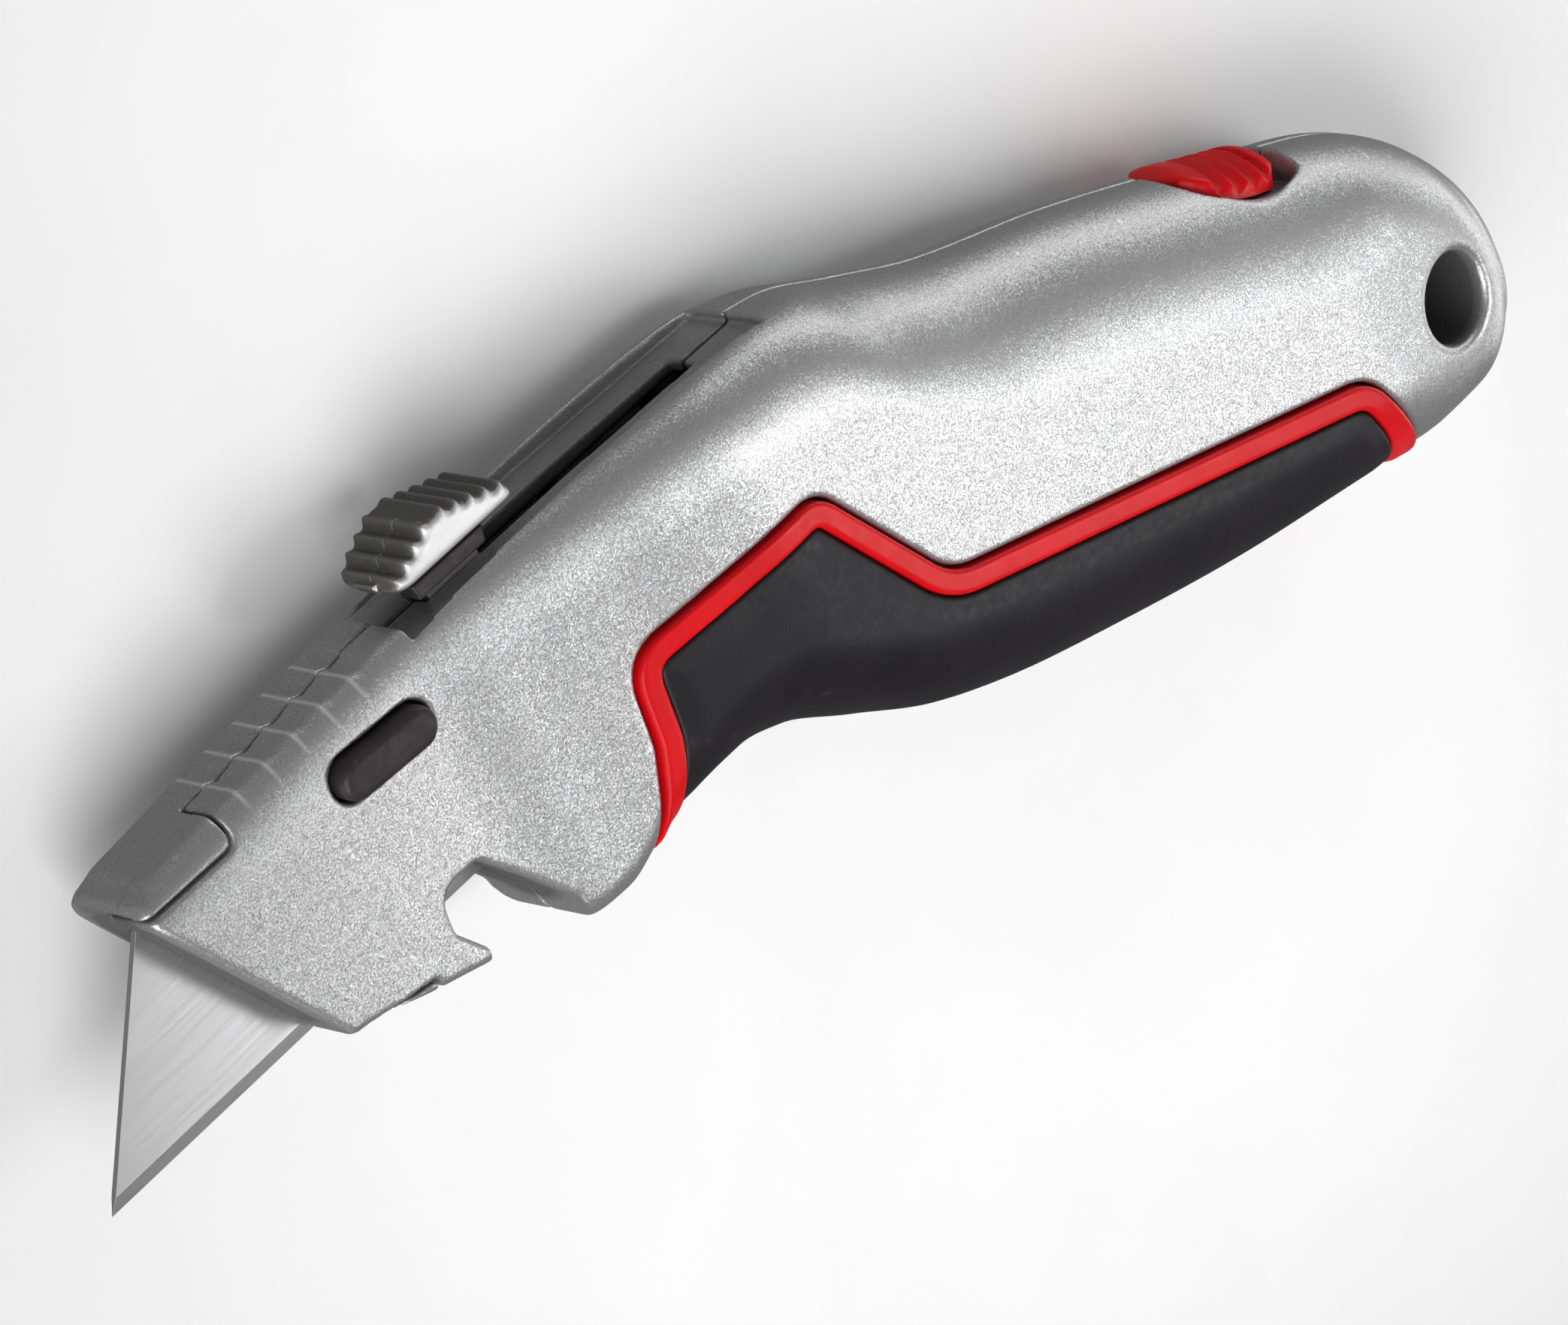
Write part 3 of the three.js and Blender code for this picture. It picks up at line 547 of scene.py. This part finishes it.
def slider_shoe():
    """Dark moulded block under the slider's cap, round its stem."""
    g = Grid((50, 24.8, -4.4), (61.5, 28, 4.4), FINE_STEP)
    block = both(outline_field(SHOE["outline"], g.x, g.y), np.abs(g.z) - SHOE["half"], 0.3)
    return g.mesh("slider_shoe", without(block, np.abs(g.z) - SHOE["stem_half"]))


# ---------------------------------------------------------------- buttons
def release_button():
    low, high = cad_box("blade_release_button")
    g = Grid(low - 0.8, high + 0.8, FINE_STEP)
    u, v = g.turned(window_place())
    cap = oblong_field(u, v, WINDOW["length"] - 2 * GAP, WINDOW["width"] - 2 * GAP)
    crown = g.z - high[2] + 0.05 * (v / 2) ** 2 + 0.01 * (np.abs(u) / 3) ** 3
    cap = both(both(cap, crown, 0.9), 3 - g.z)
    foot = both(g.cad("blade_release_button"), g.z - 3.9)
    spring_low, spring_high = cad_box("release_button_spring")
    aside = np.maximum(np.maximum(spring_low[0] - g.x, g.x - spring_high[0]),
                       np.maximum(spring_low[1] - g.y, g.y - spring_high[1])) - GAP
    room = both(aside, g.z - spring_high[2] - PRESS_ROOM)
    return g.mesh("blade_release_button", without(either(cap, foot, 0.1), room))


def button_leaf():
    """The leaf spring under the release button, as a piece that can be pressed flat."""
    source = frame["nodes"]["release_button_spring"]
    piece = bpy.data.objects.new("release_button_leaf", source.data.copy())
    piece.matrix_world = source.matrix_world
    bpy.context.scene.collection.objects.link(piece)
    return piece


def latch_button():
    low, high = cad_box("latch_button")
    g = Grid(low - 0.8, high + 1.2, FINE_STEP)
    u, v = g.turned(LATCH)
    u, v, z = np.broadcast_arrays(u, v, g.z)
    plan = outline_field(latch_plan(LATCH["front"], LATCH["length"], LATCH["half"]), z, u)
    across = np.clip(z / LATCH_CROWN["radius"], -0.9, 0.9)
    crown = LATCH_CROWN["height"] - LATCH_CROWN["bulge"] * (1 - np.sqrt(1 - across**2))
    crown = crown - LATCH_CROWN["front_drop"] * smoothstep((3.4 - u) / 3.0) ** 2
    phase = (u - LATCH_RIBS["first"]) / LATCH_RIBS["pitch"]
    tooth = np.mod(phase, 1)
    valley = np.where(tooth < 0.35, smoothstep(tooth / 0.4), 1 - np.clip((tooth - 0.4) / 0.6, 0, 1) ** 1.4)
    ribbed = (phase > 0) & (phase < LATCH_RIBS["count"] - 0.35)
    crown = crown - LATCH_RIBS["depth"] * np.where(ribbed, valley, 0)
    cap = both(both(plan, v - crown, 0.45), -LATCH_DEPTH - v)
    foot = both(g.cad("latch_button"), v + 2.5)
    return g.mesh("latch_button", either(cap, foot, 0.1))


# ---------------------------------------------------------------- blade
def blade_notch(x, height, steps=12):
    """Points of one round locating notch in the blade's spine, from its rear corner to its front one."""
    radius, above = BLADE_NOTCHES["radius"], BLADE_NOTCHES["above"]
    sweep = math.acos(above / radius)
    turns = [sweep - 2 * sweep * i / steps for i in range(steps + 1)]
    return [(x + radius * math.sin(turn), height + above - radius * math.cos(turn)) for turn in turns]


def blade(name):
    """Trapezoid blade with two locating notches and a ground bevel on both faces."""
    length, height = BLADE_HIGH.x / MM - ORIGIN[0], BLADE_HIGH.y / MM - ORIGIN[1]
    half = (BLADE_HIGH.z - BLADE_LOW.z) / MM / 2
    slant = (length - SPINE) / 2
    foot = slant * BEVEL["height"] / height
    face = [(foot, BEVEL["height"]), (length - foot, BEVEL["height"]), (length - slant, height)]
    for x in BLADE_NOTCHES["at"]:
        face += blade_notch(x, height)
    face.append((slant, height))
    count = len(face)
    points = [(x, y, -half) for x, y in face] + [(x, y, half) for x, y in face]
    edge = len(points)
    for x in (0, length):
        points += [(x, 0, -BEVEL["edge"]), (x, 0, BEVEL["edge"])]
    faces = [tuple(range(count))[::-1], tuple(range(count, 2 * count))]
    for i in range(1, count):
        j = (i + 1) % count
        faces.append((i, j, j + count, i + count))
    faces += [(edge, edge + 2, 1, 0)[::-1], (edge + 1, count, count + 1, edge + 3)[::-1],
              (edge, edge + 1, edge + 3, edge + 2)[::-1], (edge, 0, count, edge + 1)[::-1],
              (edge + 2, edge + 3, count + 1, 1)[::-1]]
    mesh = bpy.data.meshes.new(name)
    mesh.from_pydata([((np.array(p) + ORIGIN) * MM).tolist() for p in points], [], faces)
    mesh.validate()
    piece = bpy.data.objects.new(name, mesh)
    bpy.context.scene.collection.objects.link(piece)
    bevel = piece.modifiers.new("edges", "BEVEL")
    bevel.width = 0.04 * MM
    bevel.segments = 2
    bevel.limit_method = "ANGLE"
    bevel.angle_limit = math.radians(40)
    return piece


# ---------------------------------------------------------------- materials
class Shader:
    """Short way to write a node material whose patterns are measured in millimetres."""

    def __init__(self, name):
        self.material = bpy.data.materials.new(name)
        self.material.use_nodes = True
        self.tree = self.material.node_tree
        self.tree.nodes.clear()
        output = self.node("ShaderNodeOutputMaterial")
        self.shader = self.node("ShaderNodeBsdfPrincipled")
        self.link(self.shader.outputs[0], output.inputs[0])
        place = self.node("ShaderNodeTexCoord")
        scale = self.node("ShaderNodeMapping")
        scale.inputs["Scale"].default_value = (1 / MM,) * 3
        self.link(place.outputs["Object"], scale.inputs["Vector"])
        self.place = scale.outputs["Vector"]

    def node(self, kind, **settings):
        made = self.tree.nodes.new(kind)
        for key, value in settings.items():
            setattr(made, key, value)
        return made

    def link(self, a, b):
        self.tree.links.new(a, b)

    def set(self, **values):
        for key, value in values.items():
            self.shader.inputs[key.replace("_", " ")].default_value = value

    def stretched(self, scale):
        """The place, stretched: a small scale makes a pattern long that way."""
        mapping = self.node("ShaderNodeMapping")
        mapping.inputs["Scale"].default_value = scale
        self.link(self.place, mapping.inputs["Vector"])
        return mapping.outputs["Vector"]

    def noise(self, size, detail=2.0, rough=0.5, at=None):
        made = self.node("ShaderNodeTexNoise")
        made.inputs["Scale"].default_value = 1 / size
        made.inputs["Detail"].default_value = detail
        made.inputs["Roughness"].default_value = rough
        self.link(at or self.place, made.inputs["Vector"])
        return made.outputs["Fac"]

    def cells(self, size):
        """A random colour for each cell of this size."""
        made = self.node("ShaderNodeTexVoronoi")
        made.inputs["Scale"].default_value = 1 / size
        self.link(self.place, made.inputs["Vector"])
        return made.outputs["Color"]

    def wear(self, low=0.52, high=0.6):
        """1 on worn outer edges, 0 elsewhere."""
        return self.ramp(self.node("ShaderNodeNewGeometry").outputs["Pointiness"], low, high)

    def ramp(self, value, low, high, start=0.0, end=1.0):
        made = self.node("ShaderNodeMapRange")
        for key, number in zip(("From Min", "From Max", "To Min", "To Max"), (low, high, start, end)):
            made.inputs[key].default_value = number
        self.link(value, made.inputs["Value"])
        return made.outputs["Result"]

    def math(self, operation, a, b):
        made = self.node("ShaderNodeMath", operation=operation)
        for socket, value in zip(made.inputs, (a, b)):
            if isinstance(value, (int, float)):
                socket.default_value = value
            else:
                self.link(value, socket)
        return made.outputs[0]

    def mix(self, factor, a, b):
        made = self.node("ShaderNodeMix", data_type="RGBA")
        self.link(factor, made.inputs[0])
        for socket, value in zip(made.inputs[6:8], (a, b)):
            if isinstance(value, tuple):
                socket.default_value = (*value, 1)
            else:
                self.link(value, socket)
        return made.outputs[2]

    def rib_crest_highlight(self):
        """1 along the crests of the nose's ribs, where a highlight is painted, 0 elsewhere."""
        split = self.node("ShaderNodeSeparateXYZ")
        self.link(self.place, split.inputs[0])
        start, foot, seam = ORIGIN + (RIB_CRESTS["first"], RIB_CREST_HIGHLIGHT["foot"], 0)
        phase = self.math("DIVIDE", self.math("SUBTRACT", split.outputs["X"], start), RIB_CRESTS["pitch"])
        tooth = self.math("FRACT", phase, 0)
        line = self.math("MAXIMUM", self.ramp(tooth, 0, 0.1, 1, 0), self.ramp(tooth, 0.92, 1))
        aside = self.math("ABSOLUTE", self.math("SUBTRACT", split.outputs["Z"], seam), 0)
        for fade in (self.ramp(split.outputs["Y"], foot, foot + RIB_CREST_HIGHLIGHT["fade"]),
                     self.ramp(aside, *RIB_CREST_HIGHLIGHT["ends"], 1, 0),
                     self.ramp(phase, *RIB_CREST_HIGHLIGHT["from"]),
                     self.ramp(phase, *RIB_CREST_HIGHLIGHT["to"], 1, 0)):
            line = self.math("MULTIPLY", line, fade)
        return line

    def attribute(self, name):
        return self.node("ShaderNodeAttribute", attribute_name=name).outputs["Fac"]

    def sideways(self):
        """How far a surface faces one of the knife's two sides, from 0 to 1."""
        split = self.node("ShaderNodeSeparateXYZ")
        self.link(self.node("ShaderNodeTexCoord").outputs["Normal"], split.inputs[0])
        return self.math("ABSOLUTE", split.outputs["Z"], 0)

    def tilted_flakes(self, colour, amount):
        """Leans the normal of each coloured cell its own way."""
        centred = self.node("ShaderNodeVectorMath", operation="SUBTRACT")
        self.link(colour, centred.inputs[0])
        centred.inputs[1].default_value = (0.5, 0.5, 0.5)
        scaled = self.node("ShaderNodeVectorMath", operation="SCALE")
        self.link(centred.outputs[0], scaled.inputs[0])
        scaled.inputs["Scale"].default_value = amount
        leaned = self.node("ShaderNodeVectorMath", operation="ADD")
        self.link(scaled.outputs[0], leaned.inputs[0])
        self.link(self.node("ShaderNodeNewGeometry").outputs["Normal"], leaned.inputs[1])
        unit = self.node("ShaderNodeVectorMath", operation="NORMALIZE")
        self.link(leaned.outputs[0], unit.inputs[0])
        self.link(unit.outputs[0], self.shader.inputs["Normal"])

    def bump(self, height, distance, strength=1.0):
        made = self.node("ShaderNodeBump")
        made.inputs["Distance"].default_value = distance * MM
        made.inputs["Strength"].default_value = strength
        self.link(height, made.inputs["Height"])
        previous = self.shader.inputs["Normal"].links
        if previous:
            self.link(previous[0].from_socket, made.inputs["Normal"])
        self.link(made.outputs["Normal"], self.shader.inputs["Normal"])

    def colour(self, value):
        self.link(value, self.shader.inputs["Base Color"])

    def rough(self, value):
        self.link(value, self.shader.inputs["Roughness"])


def silver_paint():
    """Coarse metallic paint over a die casting: tilted flakes over a grey ground, with painted shade that
    makes it darker and less metallic with depth below the outer surface.
    """
    s = Shader("silver_paint")
    flake_colour = s.cells(0.11)
    flake = s.ramp(flake_colour, 0.1, 0.9)
    grain = s.ramp(s.noise(0.2, 3, 0.6), 0.3, 0.7)
    cloud = s.ramp(s.noise(9, 2), 0.3, 0.7)
    tone = s.math("ADD", s.math("MULTIPLY", flake, 0.55), s.math("MULTIPLY", grain, 0.45))
    base = s.mix(s.ramp(tone, 0.2, 0.8), (0.4, 0.4, 0.405), (0.6, 0.6, 0.605))
    base = s.mix(s.math("MULTIPLY", cloud, 0.15), base, (0.42, 0.42, 0.42))
    base = s.mix(s.math("MULTIPLY", s.wear(0.58, 0.68), 0.5), base, (0.75, 0.74, 0.73))
    # Painted highlight along the crests of the nose's ribs.
    base = s.mix(s.math("MULTIPLY", s.rib_crest_highlight(), 0.8), base, (1, 1, 1))
    # Painted shade in recesses: darker and less metallic from 0.25 mm below the outer surface, in the
    # channel, the ribs' valleys, the bores and slots, and on the inner walls of the shell.
    inside = s.ramp(s.attribute("depth"), 0.25, 1.9)
    s.colour(s.mix(s.math("MULTIPLY", inside, 0.85), base, (0.06, 0.058, 0.06)))
    s.link(s.ramp(inside, 0, 1, 0.82, 0.35), s.shader.inputs["Metallic"])
    s.rough(s.ramp(tone, 0.1, 0.9, 0.44, 0.34))
    s.tilted_flakes(flake_colour, 0.19)
    s.bump(grain, 0.02, 0.3)
    return s.material


def red_plastic():
    """Satin moulded border."""
    s = Shader("red_plastic")
    s.set(Specular_IOR_Level=0.2)
    cloud = s.ramp(s.noise(6, 3), 0.3, 0.7)
    base = s.mix(cloud, (0.6, 0.002, 0.005), (0.7, 0.003, 0.008))
    s.colour(s.mix(s.math("MULTIPLY", s.wear(0.56, 0.7), 0.25), base, (0.85, 0.03, 0.03)))
    s.rough(s.ramp(s.noise(1.2, 3), 0.3, 0.7, 0.3, 0.4))
    s.bump(s.noise(0.35, 2), 0.004, 0.3)
    return s.material


def black_rubber():
    """Soft matte grip with a fine eroded grain."""
    s = Shader("black_rubber")
    s.set(Specular_IOR_Level=0.3)
    cloud = s.ramp(s.noise(8, 4, 0.6), 0.3, 0.7)
    base = s.mix(cloud, (0.006, 0.005, 0.007), (0.012, 0.010, 0.013))
    s.colour(s.mix(s.math("MULTIPLY", s.wear(), 0.4), base, (0.03, 0.026, 0.028)))
    s.rough(s.ramp(s.noise(0.6, 3), 0.3, 0.7, 0.42, 0.55))
    s.bump(s.noise(0.22, 3, 0.6), 0.03, 0.5)
    return s.material


def blade_steel():
    """Bright rolled steel with faint drawn lines and smudges."""
    s = Shader("blade_steel")
    s.set(Metallic=0.9)
    drawn = s.noise(0.5, 4, 0.6, s.stretched((0.06, 1.6, 1)))
    smudge = s.ramp(s.noise(11, 3), 0.35, 0.7)
    base = s.mix(s.ramp(drawn, 0.3, 0.7), (0.5, 0.5, 0.51), (0.57, 0.57, 0.58))
    base = s.mix(s.math("MULTIPLY", smudge, 0.25), base, (0.5, 0.49, 0.48))
    s.colour(s.mix(s.math("MULTIPLY", s.wear(0.53, 0.62), 0.4), base, (0.82, 0.82, 0.82)))
    s.rough(s.ramp(drawn, 0.3, 0.7, 0.34, 0.46))
    s.bump(drawn, 0.002, 0.3)
    return s.material


def spring_steel():
    s = Shader("spring_steel")
    s.set(Metallic=0.95)
    drawn = s.noise(0.3, 4, 0.6, s.stretched((0.1, 1.4, 1.4)))
    base = s.mix(s.ramp(drawn, 0.3, 0.7), (0.3, 0.3, 0.31), (0.5, 0.5, 0.51))
    s.colour(s.mix(s.math("MULTIPLY", s.wear(), 0.5), base, (0.7, 0.7, 0.7)))
    s.rough(s.ramp(s.noise(1.5, 3), 0.3, 0.7, 0.26, 0.42))
    s.bump(drawn, 0.01, 0.5)
    return s.material


def slider_metal():
    """Cast slider with a fine grit: painted light makes its two flanks bright and painted shade makes its
    ridged faces dark, by which way each face looks; the crests of its ridges are rubbed lighter.
    """
    s = Shader("slider_metal")
    s.set(Metallic=0.75)
    grit = s.ramp(s.noise(0.11, 3, 0.65), 0.3, 0.7)
    cloud = s.ramp(s.noise(3, 3), 0.3, 0.7)
    # Painted light and shade: faces towards the knife's sides get the bright colour, the ridged front and top
    # the dark one.
    lit_side_mask = s.ramp(s.sideways(), 0.55, 0.95)
    shaded_ridge_colour = s.mix(grit, (0.11, 0.106, 0.104), (0.22, 0.214, 0.21))
    shaded_ridge_colour = s.mix(s.math("MULTIPLY", s.wear(0.505, 0.56), 0.5), shaded_ridge_colour, (0.5, 0.49, 0.48))
    lit_side_colour = s.mix(grit, (0.74, 0.74, 0.74), (0.95, 0.95, 0.95))
    lit_side_colour = s.mix(s.math("MULTIPLY", cloud, 0.2), lit_side_colour, (0.7, 0.7, 0.7))
    s.colour(s.mix(lit_side_mask, shaded_ridge_colour, lit_side_colour))
    s.rough(s.ramp(grit, 0, 1, 0.58, 0.45))
    s.bump(grit, 0.02, 0.4)
    return s.material


def dark_plastic():
    s = Shader("dark_plastic")
    s.set(Specular_IOR_Level=0.4)
    cloud = s.ramp(s.noise(4, 3), 0.3, 0.7)
    base = s.mix(cloud, (0.018, 0.012, 0.014), (0.034, 0.025, 0.028))
    s.colour(s.mix(s.math("MULTIPLY", s.wear(), 0.4), base, (0.08, 0.07, 0.072)))
    s.rough(s.ramp(s.noise(0.7, 3), 0.3, 0.7, 0.42, 0.58))
    s.bump(s.noise(0.25, 2), 0.02, 0.5)
    return s.material


def floor_paper():
    s = Shader("floor_paper")
    s.colour(s.mix(s.ramp(s.noise(30, 3), 0.3, 0.7), (0.93, 0.93, 0.93), (0.96, 0.96, 0.96)))
    s.rough(s.ramp(s.noise(6, 2), 0.3, 0.7, 0.7, 0.8))
    s.bump(s.noise(1.5, 3), 0.02, 0.3)
    return s.material


# ---------------------------------------------------------------- the scene
def finish_piece(piece, slot, node, replaces=True):
    """Gives a new piece its material, and the body of the CAD node that it replaces or lies beside."""
    piece.data.materials.clear()
    piece.data.materials.append(MATERIALS[slot])
    if replaces:
        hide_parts(node)
    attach(piece, BODY_OF[node])


def camera(location, target, up, lens):
    """Camera at a point in the row frame, in millimetres, looking at a target with its top towards `up`."""
    location, target, up = Vector(location), Vector(target), Vector(up)
    back = (location - target).normalized()
    right = up.cross(back).normalized()
    turn = Matrix((right, back.cross(right), back)).transposed().to_4x4()
    made = bpy.data.objects.new("camera", bpy.data.cameras.new("camera"))
    made.matrix_world = Matrix.Translation(location * MM) @ turn
    made.data.lens = lens
    made.data.sensor_fit = "HORIZONTAL"
    made.data.sensor_width = 36
    made.data.clip_start = 0.01
    bpy.context.scene.collection.objects.link(made)
    bpy.context.scene.camera = made


def softbox(name, direction, distance, size, power, aim=(0, 0, 0), spread=180):
    """Rectangular light, millimetres away from its aim in a direction, with a grid that narrows its beam."""
    light = bpy.data.lights.new(name, "AREA")
    light.shape = "RECTANGLE"
    light.size, light.size_y = size[0] * MM, size[1] * MM
    light.energy = power
    light.spread = math.radians(spread)
    made = bpy.data.objects.new(name, light)
    direction = Vector(direction).normalized()
    made.location = (Vector(aim) + direction * distance) * MM
    made.rotation_euler = direction.to_track_quat("Z", "Y").to_euler()
    bpy.context.scene.collection.objects.link(made)


def floor(half=3000):
    mesh = bpy.data.meshes.new("floor")
    corners = [(-half, -half), (half, -half), (half, half), (-half, half)]
    mesh.from_pydata([(x * MM, y * MM, -0.05 * MM) for x, y in corners], [], [(0, 1, 2, 3)])
    made = bpy.data.objects.new("floor", mesh)
    mesh.materials.append(floor_paper())
    bpy.context.scene.collection.objects.link(made)
    made.visible_glossy = False


def world(colour, strength):
    made = bpy.data.worlds.new("studio")
    made.use_nodes = True
    background = made.node_tree.nodes["Background"]
    background.inputs["Color"].default_value = (*colour, 1)
    background.inputs["Strength"].default_value = strength
    bpy.context.scene.world = made


MATERIALS = {
    "silver_paint": silver_paint(),
    "red_plastic": red_plastic(),
    "black_rubber": black_rubber(),
    "blade_steel": blade_steel(),
    "spring_steel": spring_steel(),
    "slider_metal": slider_metal(),
    "dark_plastic": dark_plastic(),
}
KEPT_NODES = {
    "blade_carrier": "dark_plastic",
    "blade_clamp_leaf": "spring_steel",
    "clamp_rivet": "spring_steel",
    "thumb_slider_spring": "spring_steel",
    "detent_strip": "spring_steel",
    "button_keeper": "spring_steel",
    "latch_plate": "spring_steel",
    "latch_screw": "spring_steel",
    "latch_spring": "spring_steel",
    "blade_magazine": "dark_plastic",
    "spare_blade_1": "blade_steel",
    "spare_blade_2": "blade_steel",
    "spare_blade_3": "blade_steel",
    "magazine_spring": "spring_steel",
}
for node, slot in KEPT_NODES.items():
    frame["nodes"][node].data.materials.clear()
    frame["nodes"][node].data.materials.append(MATERIALS[slot])

BODY_OF = {node: frame["nodes"][node].parent.name.split(":")[1] for node in frame["nodes"]}

for side, word in ((-1, "right"), (1, "left")):
    finish_piece(case_half(side), "silver_paint", f"{word}_case")
    trim, pad = grip_pieces(side)
    finish_piece(trim, "red_plastic", f"{word}_grip_trim")
    finish_piece(pad, "black_rubber", f"{word}_grip_pad")

finish_piece(thumb_slider(), "slider_metal", "thumb_slider")
finish_piece(slider_shoe(), "dark_plastic", "thumb_slider", replaces=False)
finish_piece(release_button(), "dark_plastic", "blade_release_button")
leaf = button_leaf()
finish_piece(leaf, "spring_steel", "release_button_spring")
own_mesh(leaf)
finish_piece(latch_button(), "red_plastic", "latch_button")
finish_piece(blade("cutting_blade"), "blade_steel", "blade")

camera(location=(-347.85, 328.945, 513.6), target=(-3.781, -4.161, 11.0), up=(0.6001, 0.79176, -0.11397),
       lens=181.77)
HANDLE = (54, 2, 11)                         # middle of the handle, which the key lights aim at
softbox("overhead", (-0.75, -0.15, 0.64), 1100, (1000, 1000), 13)
softbox("key_low", (0.495, -0.44, 0.75), 400, (260, 180), 0.0122, aim=HANDLE, spread=17)
softbox("key_middle", (0.475, -0.28, 0.83), 400, (260, 180), 0.018, aim=HANDLE, spread=17)
softbox("key_high", (0.45, -0.08, 0.89), 400, (260, 180), 0.021, aim=HANDLE, spread=17)
softbox("rear", (0.85, 0.5, 0.12), 700, (600, 240), 1.0)
softbox("tail", (0.93, -0.35, 0.08), 600, (500, 200), 0.8)
world((1, 1, 1), 0.17)
bpy.context.scene.view_settings.view_transform = "Standard"
floor()
